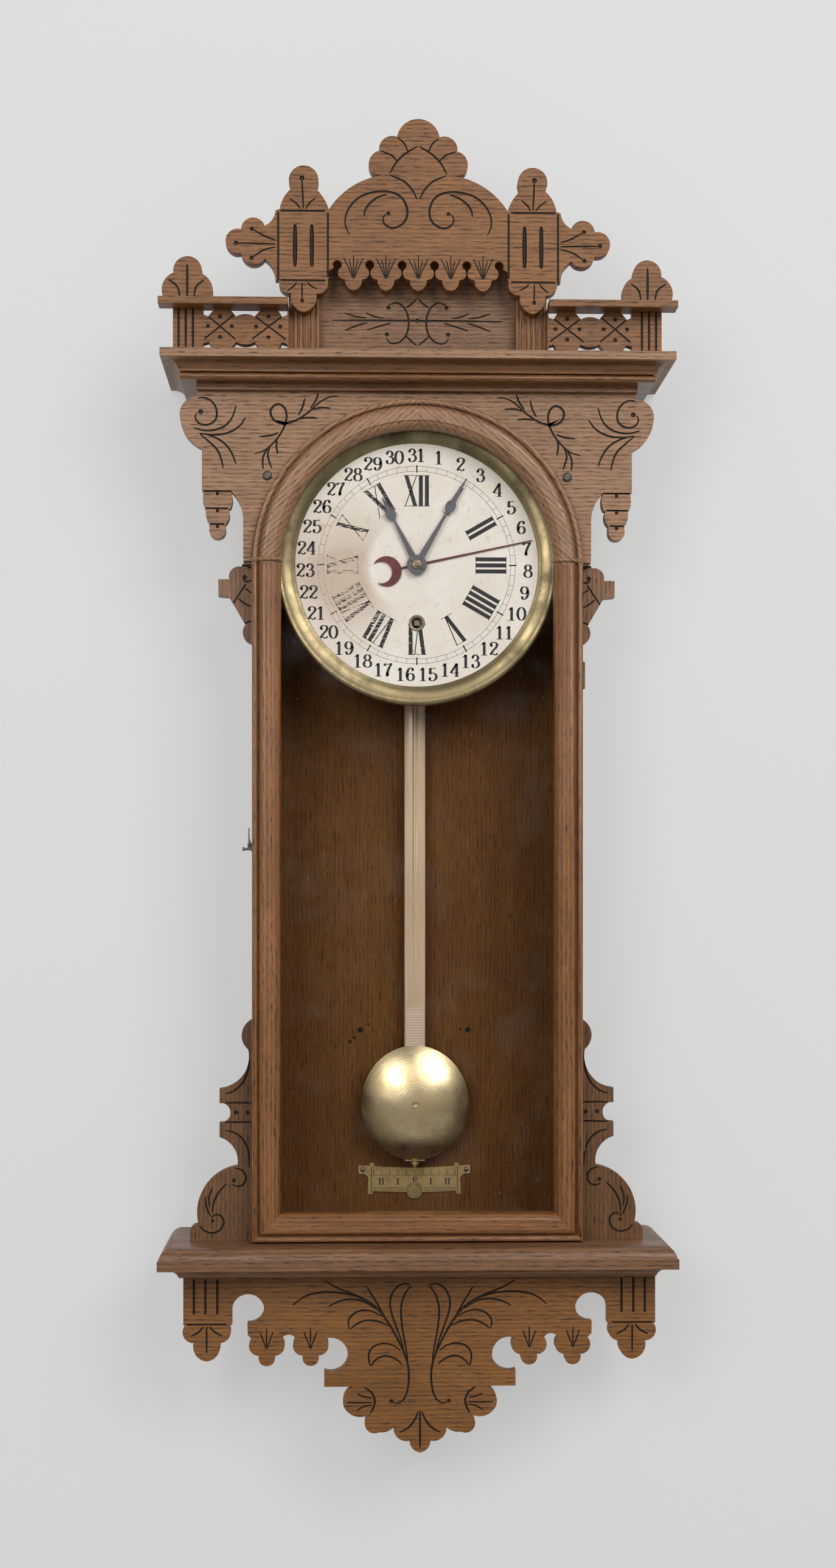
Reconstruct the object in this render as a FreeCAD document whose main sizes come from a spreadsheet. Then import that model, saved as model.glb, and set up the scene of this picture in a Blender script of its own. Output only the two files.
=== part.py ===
import FreeCAD, Part
import math
import os

# Carved oak wall clock with a long glazed door, a calendar dial and a wooden-stick pendulum.
# X runs to the viewer's right, Z up, and the wall is the plane Y = 0 with the clock on its -Y side.
# The origin is the centre of the hanging hole at the wall. Outlines are drawn in the dial's frame,
# whose centre is hanger_height below the hole, and "depth" means the distance out from the wall.

V = FreeCAD.Vector

SIZES = [
    ("hanger_height", 178.0), ("hanger_radius", 4.0), ("hanger_plate", 2.0),
    ("board", 12.0), ("case_depth", 84.0), ("case_outer", 135.6), ("case_inner", 123.6),
    ("case_head", 159.5), ("case_foot", -557.3), ("backboard_depth", 10.0),
    ("wall_screw_radius", 2.5), ("wall_screw_side", 46.0), ("wall_screw_level", -388.0),
    ("cap_thickness", 6.9), ("cap_side", 208.4), ("cap_front", 130.0),
    ("shelf_thickness", 18.3), ("shelf_side", 210.5), ("shelf_front", 131.0), ("cove_thickness", 7.4),
    ("bracket_front", 83.0), ("apron_front", 91.0), ("apron_offset", 2.2),
    ("spandrel_front", 96.0), ("spandrel_side", 180.4),
    ("plaque_front", 115.0), ("pilaster_front", 103.0), ("panel_front", 93.0), ("panel_thickness", 8.0),
    ("panel_side", 80.4), ("pilaster_width", 24.9),
    ("fence_front", 110.0), ("fence_thickness", 10.0), ("rail_depth", 18.0), ("rail_thickness", 5.7),
    ("door_outer", 135.3), ("door_opening", 111.7), ("door_back", 85.0), ("door_front", 107.0),
    ("door_foot", -556.1), ("arch_centre", -3.0), ("glass_back", 88.2), ("glass_thickness", 2.6),
    ("hinge_across", 136.3), ("hinge_depth", 97.3), ("hinge_length", 21.6), ("knuckle_radius", 1.3),
    ("pin_radius", 0.6), ("leaf_thickness", 0.7), ("upper_hinge", -92.7), ("lower_hinge", -471.8),
    ("dial_radius", 101.6), ("dial_plane", 78.0), ("dial_thickness", 0.8),
    ("bezel_outer", 117.0), ("bezel_inner", 100.6), ("winding_drop", 48.0),
    ("plate_back", 38.5), ("plate_front", 66.0), ("plate_thickness", 1.5),
    ("pendulum_pivot", 58.0), ("pendulum_depth", 28.0), ("bob_drop", 506.8), ("bob_radius", 45.4),
    ("bob_stretch", 1.07), ("board_screw_side", 123.0), ("board_screw_level", 70.0),
    ("rod_width", 17.5), ("rod_back", 25.0), ("rod_front", 31.0), ("rod_foot_front", 28.8),
    ("pressure_angle", 20.0), ("backlash", 0.12), ("spoke_angle", 11.0),
]

doc = FreeCAD.newDocument("wall_clock")
sheet = doc.addObject("Spreadsheet::Sheet", "Sizes")
for row, (alias, value) in enumerate(SIZES, 1):
    sheet.set("A%d" % row, alias.replace("_", " "))
    sheet.set("B%d" % row, str(value))
    sheet.setAlias("B%d" % row, alias)
doc.recompute()

sub_parts = []
fixings = []


def size(alias):
    """The sheet's value of one size."""
    return float(sheet.get(alias))


def finish(item, label, across=0.0, level=0.0):
    """Names a finished sub-part and places it in the part's frame, below the hanging hole."""
    item.Label = label
    place = item.Placement
    place.Base.x = across
    item.Placement = place
    item.setExpression("Placement.Base.z", "%r - Sizes.hanger_height" % float(level))
    sub_parts.append(item)
    return item


# ---------- outlines ----------
# An outline is a list of steps: (x, z) is a line to that point, and (mx, mz, x, z) an arc
# through (mx, mz) to (x, z). The first step is the start, and the last one joins back to it.

def backwards(path):
    """The same run walked from its end to its start."""
    back = [path[-1][-2:]]
    for before, step in zip(path[-2::-1], path[:0:-1]):
        back.append(step[:-2] + before[-2:])
    return back


def on_side(path, side):
    """An outline of the right side moved to the right (1) or the left (-1)."""
    return [tuple(v * side if i % 2 == 0 else v for i, v in enumerate(step)) for step in path]


def both_sides(half):
    """A closed outline from its right half, which runs from top centre to bottom centre."""
    return half + backwards(on_side(half, -1))[1:]


def moved_right(path, distance):
    """The same outline further to the right."""
    return [tuple(v + distance if i % 2 == 0 else v for i, v in enumerate(step)) for step in path]


def rectangle(left, bottom, right, top):
    return [(left, bottom), (right, bottom), (right, top), (left, top)]


def edges_of(path):
    """Line and arc curves of a closed outline."""
    curves = []
    start = V(path[0][-2], path[0][-1], 0)
    here = start
    for step in path[1:] + [path[0][-2:]]:
        there = V(step[-2], step[-1], 0)
        if (there - here).Length < 1e-6:
            continue
        if len(step) == 4:
            curves.append(Part.Arc(here, V(step[0], step[1], 0), there))
        else:
            curves.append(Part.LineSegment(here, there))
        here = there
    return curves


# ---------- bodies ----------

def new_body(name):
    return doc.addObject("PartDesign::Body", name)


def origin_item(body, role):
    return [item for item in body.Origin.OriginFeatures if item.Role == role][0]


def sketch_on(body, role, loops, offset="0"):
    """A sketch of closed outlines on one of the body's own planes, offset along its normal."""
    sketch = body.newObject("Sketcher::SketchObject", body.Name + "_sketch")
    sketch.AttachmentSupport = [(origin_item(body, role), "")]
    sketch.MapMode = "FlatFace"
    sketch.setExpression("AttachmentOffset.Base.z", offset)
    for loop in loops:
        sketch.addGeometry(loop, False)
    return sketch


def circle(x, z, radius):
    return [Part.Circle(V(x, z, 0), V(0, 0, 1), radius)]


def pad(body, role, loops, length, offset="0", both_ways=False):
    """Extrudes outlines; on XZ_Plane the pad grows out from the wall."""
    feature = body.newObject("PartDesign::Pad", body.Name + "_pad")
    feature.Profile = sketch_on(body, role, loops, offset)
    feature.setExpression("Length", length)
    if both_ways:
        feature.SideType = "Symmetric"
    return feature


def pocket_through(body, role, loops):
    """Cuts outlines right through the body, both ways from the plane."""
    feature = body.newObject("PartDesign::Pocket", body.Name + "_pocket")
    feature.Profile = sketch_on(body, role, loops)
    feature.Type = "ThroughAll"
    feature.SideType = "Symmetric"
    return feature


def board(label, path, back, thickness, holes=()):
    """A flat piece parallel to the wall, cut to an outline, with any openings."""
    body = new_body(label)
    loops = [edges_of(path)] + list(holes)
    pad(body, "XZ_Plane", loops, thickness, back)
    return finish(body, label)


def lathe(name, profile, angle="360"):
    """A turned piece about its own Y axis, from (radius, depth) steps."""
    body = new_body(name)
    steps = [tuple(-v if i % 2 else v for i, v in enumerate(step)) for step in profile]
    feature = body.newObject("PartDesign::Revolution", name + "_turn")
    feature.Profile = sketch_on(body, "XY_Plane", [edges_of(steps)])
    feature.ReferenceAxis = (origin_item(body, "Y_Axis"), [""])
    feature.setExpression("Angle", angle)
    return body


def turned(label, profile, across=0.0, level=0.0):
    return finish(lathe(label, profile), label, across, level)


def stepped(*spans):
    """A shaft's profile from (radius, start depth, end depth) spans that follow each other."""
    profile = [(0.0, spans[0][1])]
    for radius, start, end in spans:
        profile += [(radius, start), (radius, end)]
    profile.append((0.0, spans[-1][2]))
    return profile


def tube(inner, outer, start, end):
    return [(inner, start), (outer, start), (outer, end), (inner, end)]


def block(name, low, high):
    """A plain box between two corners, in the dial's frame."""
    box = doc.addObject("Part::Box", name)
    box.Length = high[0] - low[0]
    box.Width = high[1] - low[1]
    box.Height = high[2] - low[2]
    box.Placement.Base = V(*low)
    return box


def round_bar(name, radius, start, end, across=0.0, level=0.0):
    """A plain cylinder pointing out from the wall between two depths."""
    bar = doc.addObject("Part::Cylinder", name)
    bar.Radius = radius
    bar.Height = end - start
    bar.Placement = FreeCAD.Placement(V(across, -start, level), FreeCAD.Rotation(V(1, 0, 0), 90))
    return bar


def side_bar(name, radius, start, end, depth, level):
    """A plain cylinder along X."""
    bar = doc.addObject("Part::Cylinder", name)
    bar.Radius = radius
    bar.Height = end - start
    bar.Placement = FreeCAD.Placement(V(start, -depth, level), FreeCAD.Rotation(V(0, 1, 0), 90))
    return bar


def upright_bar(name, radius, low, high, depth):
    """A plain cylinder along Z."""
    bar = doc.addObject("Part::Cylinder", name)
    bar.Radius = radius
    bar.Height = high - low
    bar.Placement.Base = V(0, -depth, low)
    return bar


def joined(name, pieces):
    fuse = doc.addObject("Part::MultiFuse", name)
    fuse.Shapes = pieces
    return fuse


def less(name, base, tools):
    cut = doc.addObject("Part::Cut", name)
    cut.Base = base
    cut.Tool = joined(name + "_tools", tools) if len(tools) > 1 else tools[0]
    return cut


def common(name, first, second):
    overlap = doc.addObject("Part::Common", name)
    overlap.Base = first
    overlap.Tool = second
    return overlap


def compound(label, pieces):
    group = doc.addObject("Part::Compound", label)
    group.Links = pieces
    return finish(group, label)


# ---------- case ----------

def set_back(profile, edge):
    """(setback, level) steps measured in from an edge."""
    return [tuple(v if i % 2 else edge - v for i, v in enumerate(step)) for step in profile]


def moulded_slab(name, profile, side, front):
    """A slab whose front and both ends carry one moulding, met in mitres: (setback, level) steps."""
    low, high = profile[0][-1], profile[-1][-1]
    across = set_back(profile, side)
    ends = new_body(name + "_ends")
    pad(ends, "XZ_Plane", [edges_of(both_sides([(0, low)] + across + [(0, high)]))], "%r" % front)
    face = new_body(name + "_face")
    section = on_side([(0, low)] + set_back(profile, front) + [(0, high)], -1)
    pad(face, "YZ_Plane", [edges_of(section)], "%r" % (4 * side), both_ways=True)
    return common(name + "_slab", ends, face)


def make_case():
    foot, head = size("case_foot"), size("case_head")
    inner, outer = size("case_inner"), size("case_outer")
    for label, side in (("case_side_left", -1), ("case_side_right", 1)):
        board(label, on_side(rectangle(inner, foot, outer, head), side), "0", "Sizes.case_depth")
    screws = [circle(x * size("wall_screw_side"), size("wall_screw_level"), size("wall_screw_radius"))
              for x in (-1, 1)]
    board("backboard", rectangle(-inner, foot, inner, head), "Sizes.hanger_plate",
          "Sizes.backboard_depth", screws)
    side = size("cap_side")
    cap = block("cornice_cap", (-side, -size("cap_front"), head), (side, -size("hanger_plate"), head + 1.0))
    cap.setExpression("Length", "2 * Sizes.cap_side")
    cap.setExpression("Height", "Sizes.cap_thickness")
    finish(cap, "cornice_cap", -side, head)


def make_cornice():
    """Cove, bead and frieze that wrap the front and both ends under the cap."""
    head = size("case_head")
    profile = [
        (28.0, 139.0), (28.0, 144.5), (16.2, 144.5), (14.4, 147.2, 16.2, 150.0), (17.0, 150.6),
        (14.0, 150.6), (12.0, 156.0, 3.5, head),
    ]
    slab = moulded_slab("cornice", profile, size("cap_side"), size("cap_front"))
    reach = size("spandrel_side")
    hollow = block("cornice_hollow", (-reach, -size("spandrel_front"), 130.0), (reach, 10.0, head + 10.0))
    finish(less("cornice_moulding", slab, [hollow]), "cornice_moulding")


def make_shelf():
    foot, front, side = size("case_foot"), size("shelf_front"), size("shelf_side")
    low = foot - size("shelf_thickness")
    profile = [(0.0, low), (0.0, low + 8.0), (1.4, low + 9.0), (4.2, foot - 3.4, 11.6, foot)]
    finish(moulded_slab("shelf", profile, side, front), "shelf")
    cove = [(16.5, low - size("cove_thickness")), (14.0, low - 3.4, 6.5, low - 1.0), (6.5, low)]
    slab = moulded_slab("cove", cove, side, front)
    hollow = block("cove_hollow", (-170.0, -70.0, low - 20.0), (170.0, 10.0, low + 5.0))
    finish(less("shelf_cove", slab, [hollow]), "shelf_cove")


def make_spandrel():
    """Pierced board round the door's arch, with ears, three-tier drops and a neck on each side."""
    clear = size("door_outer") + 0.7
    centre = size("arch_centre")
    neck = math.sqrt(clear ** 2 - centre ** 2)
    haunch = clear * math.sqrt(0.5)
    side, head = size("spandrel_side"), size("case_head")
    half = [
        (0, head), (side, head), (side, 134.5), (191.8, 128.5, 194.2, 116.5), (188.6, 101.6, 176.4, 92.2),
        (176.4, 57.6), (174.6, 57.2), (175.6, 50.2, 174.2, 43.0), (172.6, 42.6), (173.0, 36.3, 170.2, 30.0),
        (170.4, 25.4), (163.7, 18.4, 157.0, 25.4), (157.2, 30.0), (153.9, 36.3, 154.8, 42.6),
        (153.2, 43.0), (151.4, 50.2, 152.9, 57.4), (145.8, 47.5, 142.8, 30.0), (142.6, 0.0), (neck, 0.0),
        (haunch, centre + haunch, 0, centre + clear),
    ]
    holes = [circle(x * size("board_screw_side"), size("board_screw_level"), 2.1) for x in (-1, 1)]
    board("spandrel_board", both_sides(half), "Sizes.spandrel_front - Sizes.board", "Sizes.board", holes)


UPPER_BRACKET = [
    (135.6, 0.0), (143.5, 0.0), (144.8, -2.6), (152.2, -4.6, 154.8, -13.0), (163.6, -13.0), (163.6, -26.6),
    (154.6, -27.5), (141.3, -50.3), (143.6, -56.5, 135.6, -66.0),
]

LOWER_BRACKET = [
    (135.6, -375.0), (144.2, -385.5, 139.2, -400.0), (144.0, -422.0, 162.7, -432.2), (162.7, -444.2),
    (158.9, -444.4), (153.7, -452.2, 158.9, -459.9), (162.7, -460.1), (162.7, -472.2),
    (151.2, -480.5, 148.0, -496.0), (150.8, -496.4), (174.8, -512.8, 179.8, -544.0),
    (184.8, -545.2, 186.9, -549.8), (186.9, -557.3), (135.6, -557.3),
]


def make_brackets():
    for where, side in (("left", -1), ("right", 1)):
        for name, path in (("upper", UPPER_BRACKET), ("lower", LOWER_BRACKET)):
            board("%s_bracket_%s" % (name, where), on_side(path, side),
                  "Sizes.bracket_front - Sizes.board", "Sizes.board")


def apron_drop(centre):
    """One trefoil drop of the apron, walked from right to left."""
    return [
        (centre + 12.3, -637.0), (centre + 13.7, -646.4, centre + 6.4, -650.8),
        (centre + 5.2, -657.0, centre, -659.4), (centre - 5.2, -657.0, centre - 6.4, -650.8),
        (centre - 13.7, -646.4, centre - 12.3, -637.0),
    ]


def make_apron():
    top = size("case_foot") - size("shelf_thickness") - size("cove_thickness")
    half = [
        (0, top), (194.1, top), (194.1, -625.2), (192.7, -625.6), (192.5, -637.0, 185.8, -640.0),
        (183.7, -650.2, 175.0, -655.2), (166.3, -650.2, 164.2, -640.0), (157.5, -637.0, 157.3, -625.6),
        (154.3, -625.2), (154.3, -613.5), (141.5, -600.2, 128.1, -610.5), (132.1, -620.6, 141.6, -623.8),
        (141.4, -633.8),
    ]
    half += apron_drop(125.8)
    half += [(107.8, -633.6, 102.1, -637.0)]
    half += apron_drop(89.8)[1:]
    half += [
        (59.7, -647.0, 78.7, -663.3), (78.7, -676.6), (54.4, -676.6), (61.9, -683.0, 62.5, -693.4),
        (54.6, -700.6, 39.1, -697.8), (44.7, -703.6), (43.6, -712.2, 33.8, -714.2),
        (27.0, -713.6, 21.9, -710.6), (17.4, -719.6, 8.6, -721.4), (5.8, -728.2, 0, -731.0),
    ]
    outline = moved_right(both_sides(half), size("apron_offset"))
    board("apron", outline, "Sizes.apron_front - Sizes.board", "Sizes.board")


# ---------- crest ----------

def plaque_drop(centre):
    """One drop of the crest plaque's scalloped edge, walked from right to left."""
    return [
        (centre + 10.5, 235.4), (centre + 12.6, 230.6, centre + 8.6, 226.4), (centre + 6.9, 226.0),
        (centre + 5.4, 220.6, centre, 217.0), (centre - 5.4, 220.6, centre - 6.9, 226.0),
        (centre - 8.6, 226.4), (centre - 12.6, 230.6, centre - 10.5, 235.4),
    ]


def make_plaque():
    pitch = 26.3
    half = [
        (0, 356.6), (11.3, 352.5, 17.3, 342.0), (27.8, 340.4, 31.8, 330.6), (39.9, 322.6, 37.6, 312.6),
        (30.5, 310.4), (55.4, 300.4, 72.6, 282.5), (76.6, 291.4, 83.0, 299.2), (93.0, 318.0, 103.0, 299.2),
        (109.4, 291.4, 112.4, 282.5), (115.8, 281.2), (118.8, 273.4, 124.5, 268.8),
        (134.0, 275.4, 143.6, 266.0), (156.2, 256.2, 143.6, 246.6), (134.0, 237.4, 124.5, 242.2),
        (118.8, 236.2, 115.8, 225.4),
        (112.4, 225.8), (110.2, 216.4, 103.3, 214.3), (101.2, 204.4, 93.0, 199.2),
        (84.8, 204.4, 82.7, 214.3), (76.0, 216.4, 73.6, 226.0), (72.6, 226.4), (72.6, 233.0), (68.4, 235.4),
    ]
    for centre in (2 * pitch, pitch):
        half.append((centre + pitch / 2, 241.6, centre + 10.5, 235.4))
        half += plaque_drop(centre)[1:]
    half.append((pitch / 2, 241.6, 10.5, 235.4))
    half += plaque_drop(0)[1:4]
    board("crest_plaque", both_sides(half), "Sizes.plaque_front - Sizes.board", "Sizes.board")


def make_crest_supports():
    base = size("case_head") + size("cap_thickness")
    left, width, flutes = size("panel_side"), size("pilaster_width"), 5
    board("crest_panel", rectangle(-left, base, left, 246.0), "Sizes.panel_front - Sizes.panel_thickness",
          "Sizes.panel_thickness")
    groove = width / (2 * flutes + 1)
    face, back = size("pilaster_front"), size("panel_front") - size("panel_thickness")
    pilasters = []
    for where, side in (("left", -1), ("right", 1)):
        body = new_body("pilaster_" + where)
        path = [(side * left, -back), (side * left, -face)]
        for n in range(flutes):
            start = left + groove * (2 * n + 1)
            path += [(side * start, -face),
                     (side * (start + groove / 2), -face + groove / 2, side * (start + groove), -face)]
        path += [(side * (left + width), -face), (side * (left + width), -back)]
        pad(body, "XY_Plane", [edges_of(path)], "%r" % (250.0 - base), "%r" % base)
        pilasters.append(body)
    compound("pilasters", pilasters)


def fence_opening(centre, top, up):
    """A kite-shaped opening between two necks of the lattice, narrowing up or down."""
    return edges_of([
        (centre - 13.4, top), (centre + 13.4, top), (centre + 7.5, top - 7.0 * up),
        (centre, top - 5.0 * up, centre - 7.5, top - 7.0 * up),
    ])


def fence_corner(edge, reach, top, up):
    """A small three-cornered opening against a post, reaching inwards by a signed distance."""
    inward = math.copysign(1.0, reach)
    return edges_of([(edge, top), (edge + reach, top), (edge + 4.2 * inward, top - 7.0 * up),
                     (edge, top - 5.6 * up)])


def make_fences():
    """Pierced lattice board with a corner post and trefoil on each side, and its projecting rail."""
    base = size("case_head") + size("cap_thickness")
    outline = [
        (105.4, base), (199.0, base), (199.0, 208.0), (205.6, 209.4), (207.3, 222.6, 198.6, 231.6),
        (187.2, 245.0, 175.8, 231.0), (167.4, 221.6, 169.4, 209.4), (169.4, 205.4), (105.4, 205.4),
    ]
    rail_low, rail_high = 202.3, 202.3 + size("rail_thickness")
    rails = []
    for where, side in (("left", -1), ("right", 1)):
        holes = []
        for top, up in ((203.4, 1), (168.8, -1)):
            holes.append(fence_opening(side * 140.3, top, up))
            holes.append(fence_corner(side * 174.6, side * -10.0, top, up))
            holes.append(fence_corner(side * 106.4, side * 8.4, top, up))
        board("fence_%s" % where, on_side(outline, side), "Sizes.fence_front - Sizes.fence_thickness",
              "Sizes.fence_thickness", holes)
        rail = new_body("rail_%s" % where)
        pad(rail, "XZ_Plane", [edges_of(on_side(rectangle(105.4, rail_low, 210.0, rail_high), side))],
            "Sizes.rail_depth", "Sizes.fence_front")
        rails.append(rail)
    compound("fence_rails", rails)


# ---------- door ----------

def door_profile(edge):
    """Section of the door frame as (distance from the middle, depth) steps, from outside in."""
    outer, inner = edge, edge - (size("door_outer") - size("door_opening"))
    front, back = size("door_front"), size("door_back")
    return [
        (outer, back), (outer, front - 4.8), (outer - 2.2, front - 2.4, outer - 4.4, front - 4.8),
        (outer - 4.4, front - 6.4), (outer - 5.8, front - 6.4), (outer - 5.8, front - 4.6),
        (outer - 7.4, front - 1.3, outer - 10.8, front), (inner + 5.6, front), (inner + 5.6, front - 1.0),
        (inner + 1.8, front - 3.6, inner, front - 8.4), (inner, back + 6.0), (inner + 4.8, back + 6.0),
        (inner + 4.8, back),
    ]


def outward(profile, side):
    """A (distance, depth) profile as XY_Plane steps on one side."""
    return [tuple(side * v if i % 2 == 0 else -v for i, v in enumerate(step)) for step in profile]


def make_door_frame():
    outer, opening = size("door_outer"), size("door_opening")
    foot, spring = size("door_foot"), size("arch_centre")
    width = outer - opening
    profile = door_profile(outer)
    for where, side in (("left", -1), ("right", 1)):
        label = "door_stile_" + where
        body = new_body("stile_" + where)
        pad(body, "XY_Plane", [edges_of(outward(profile, side))], "%r" % (spring - foot), "%r" % foot)
        mitre = [(side * (outer + 1), foot - 1), (side * (opening - 1), foot - 1),
                 (side * (opening - 1), foot + width + 1)]
        pocket_through(body, "XZ_Plane", [edges_of(mitre)])
        if side > 0:
            finish(less(label, body, hinge_recesses()), label)
        else:
            finish(body, label)
        arch = lathe("door_arch_" + where, profile, "90")
        arch.Placement.Rotation = FreeCAD.Rotation(V(0, 1, 0), -90 if side > 0 else 180)
        finish(arch, "door_arch_" + where, 0.0, spring)
    rail = new_body("door_rail")
    section = []
    for step in profile:
        pairs = zip(step[0::2], step[1::2])
        section.append(tuple(v for distance, depth in pairs for v in (-depth, foot + outer - distance)))
    pad(rail, "YZ_Plane", [edges_of(section)], "%r" % (2 * outer), both_ways=True)
    ends = [[(side * (outer + 1), foot - 1), (side * (outer + 1), foot + width + 1),
             (side * (opening - 1), foot + width + 1)] for side in (-1, 1)]
    pocket_through(rail, "XZ_Plane", [edges_of(end) for end in ends])
    finish(rail, "door_rail")


def make_glass():
    half = size("door_opening") + 4.4
    low = size("door_foot") + size("door_outer") - size("door_opening") - 4.4
    spring = size("arch_centre")
    path = [(half, low), (half, spring), (0, spring + half, -half, spring), (-half, low)]
    board("door_glass", path, "Sizes.glass_back", "Sizes.glass_thickness")


# ---------- hinges and latch ----------

def hinge_recesses():
    """Room in the right stile for the knuckles and for the leaf on its edge."""
    tools = []
    half = size("hinge_length") / 2 + 0.4
    for level in (size("upper_hinge"), size("lower_hinge")):
        knuckle = doc.addObject("Part::Cylinder", "knuckle_room")
        knuckle.Radius = size("knuckle_radius") + 0.35
        knuckle.Height = 2 * half
        knuckle.Placement.Base = V(size("hinge_across"), -size("hinge_depth"), level - half)
        edge = size("door_outer")
        leaf = block("leaf_room", (edge - size("leaf_thickness"), -size("hinge_depth"), level - half),
                     (edge + 1.0, -size("door_back"), level + half))
        tools += [knuckle, leaf]
    return tools


def knuckle(name, level, start, end):
    """A length of hinge barrel bored for its pin."""
    barrel = doc.addObject("Part::Cylinder", name)
    barrel.Radius = size("knuckle_radius")
    bore = doc.addObject("Part::Cylinder", name + "_bore")
    bore.Radius = size("pin_radius") + 0.05
    for item, extra in ((barrel, 0.0), (bore, 1.0)):
        item.Height = end - start + 2 * extra
        item.Placement.Base = V(size("hinge_across"), -size("hinge_depth"), level + start - extra)
    return barrel, bore


def make_hinges():
    """Two butt hinges: case leaves with the end knuckles, door leaves with the middle one."""
    third = size("hinge_length") / 6
    thick, across, depth = size("leaf_thickness"), size("hinge_across"), size("hinge_depth")
    face, case_face, door_back = size("door_outer"), size("case_depth"), size("door_back")
    inner = size("case_inner") + 1.0
    case_leaves, door_leaves, pins = [], [], []
    for name, level in (("upper", size("upper_hinge")), ("lower", size("lower_hinge"))):
        low, high = level - 3 * third, level + 3 * third
        metal = [block("case_leaf", (inner, -case_face - thick, low), (across, -case_face, high))]
        bores = []
        for start, end in ((-3 * third, -third), (third, 3 * third)):
            barrel, bore = knuckle("case_knuckle", level, start, end)
            web = block("case_web", (across - thick, -depth, level + start),
                        (across, -case_face, level + end))
            metal += [barrel, web]
            bores.append(bore)
        case_leaves.append(less("case_hinge_" + name, joined("case_metal_" + name, metal), bores))
        gap = 0.15
        barrel, bore = knuckle("door_knuckle", level, gap - third, third - gap)
        leaf = block("door_leaf", (face - thick, 2.2 - depth, low), (face, -door_back - 0.5, high))
        tongue = block("door_tongue", (face - thick, -depth, level + gap - third),
                       (face, -door_back - 2.0, level + third - gap))
        metal = joined("door_metal_" + name, [barrel, leaf, tongue])
        door_leaves.append(less("door_hinge_" + name, metal, [bore]))
        pin = doc.addObject("Part::Cylinder", "pin_" + name)
        pin.setExpression("Radius", "Sizes.pin_radius")
        pin.setExpression("Height", "Sizes.hinge_length + 1")
        pin.Placement.Base = V(across, -depth, low - 0.5)
        pins.append(pin)
    compound("hinge_case_leaves", case_leaves)
    compound("hinge_door_leaves", door_leaves)
    compound("hinge_pins", pins)


def make_latch():
    """A hook on the case's left side that drops over a stud in the door's edge."""
    reach, level, depth = -size("door_outer"), -235.4, 96.0
    stud = joined("stud", [
        side_bar("stud_flange", 2.2, reach - 0.8, reach, depth, level),
        side_bar("stud_shank", 1.0, reach - 7.0, reach - 0.4, depth, level),
        side_bar("stud_head", 1.5, reach - 8.0, reach - 6.2, depth, level),
    ])
    finish(stud, "latch_stud")
    outer, pivot_depth, pivot_level = -size("case_outer"), 72.0, -232.0
    pivot = joined("pivot", [
        side_bar("pivot_base", 2.4, outer - 1.5, outer, pivot_depth, pivot_level),
        side_bar("pivot_shank", 1.0, outer - 3.6, outer - 1.0, pivot_depth, pivot_level),
        side_bar("pivot_head", 2.2, outer - 4.4, outer - 3.4, pivot_depth, pivot_level),
    ])
    fixings.append(pivot)
    hook = new_body("latch_hook")
    path = [
        (0, 2.8), (-20.0, 0.6), (-24.0, 1.2), (-25.2, 6.2), (-26.5, 7.4, -27.8, 5.8), (-27.8, -5.6),
        (-26.6, -6.8, -25.4, -5.6), (-25.4, -3.3), (-24.0, -1.9, -22.6, -3.3), (-22.6, -4.4), (-14.0, -2.2),
        (0, -2.8), (2.8, 0, 0, 2.8),
    ]
    pad(hook, "YZ_Plane", [edges_of(path), circle(0, 0, 1.06)], "1.2")
    hook.Placement = FreeCAD.Placement(V(0, -pivot_depth, 0), FreeCAD.Rotation(V(1, 0, 0), -14))
    finish(hook, "latch_hook", outer - 3.0, pivot_level)


# ---------- dial and hands ----------

def make_dial():
    plane = "Sizes.dial_plane"
    dial = new_body("dial")
    loops = [circle(0, 0, size("dial_radius")), circle(0, 0, 4.4), circle(0, -size("winding_drop"), 6.0)]
    pad(dial, "XZ_Plane", loops, "Sizes.dial_thickness", plane)
    finish(dial, "dial")
    inner, outer, back = size("bezel_inner"), size("bezel_outer"), size("dial_plane")
    seat = back + size("dial_thickness") + 0.1
    turned("bezel", [
        (inner + 1.2, back), (outer, back), (outer, back + 3.4),
        (outer - 0.8, back + 5.6, outer - 2.6, back + 6.6), (outer - 3.6, back + 6.6),
        (outer - 3.6, back + 5.4), (outer - 9.4, back + 4.8, inner + 0.9, back + 2.2),
        (inner, back + 1.9), (inner, seat), (inner + 1.2, seat),
    ])
    turned("winding_grommet", [
        (4.5, back - 0.6), (5.9, back - 0.6), (5.9, back + 0.8), (6.7, back + 0.8),
        (6.6, back + 1.2, 5.8, back + 1.4), (4.5, back + 1.3),
    ], 0.0, -size("winding_drop"))
    blocks = []
    for side in (-1, 1):
        body = new_body("dial_block_%d" % (side + 1))
        pad(body, "XZ_Plane", [edges_of(on_side(rectangle(103.0, -26.0, size("case_inner"), 26.0), side))],
            "22", plane + " - 22")
        blocks.append(body)
    compound("dial_blocks", blocks)


def hand(label, path, bore, back, thickness, angle):
    """A flat hand drawn pointing up, turned clockwise to its place."""
    body = new_body(label)
    pad(body, "XZ_Plane", [edges_of(path), circle(0, 0, bore)], "%r" % thickness, "%r" % back)
    body.Placement = FreeCAD.Placement(V(0, 0, 0), FreeCAD.Rotation(V(0, 1, 0), angle))
    finish(body, label)


def spear(hub, neck, bulb, shoulder, tip):
    """A spear hand: hub disc, tapered shank, pear-shaped bulb and long point."""
    half = [
        (0, tip), (0.5, tip - 0.6), (2.2, shoulder), (4.3, bulb + 1.4, 2.6, bulb - 2.9), (1.0, neck),
        (2.6, hub * 0.9), (hub, 0, 0, -hub),
    ]
    return both_sides(half)


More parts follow.
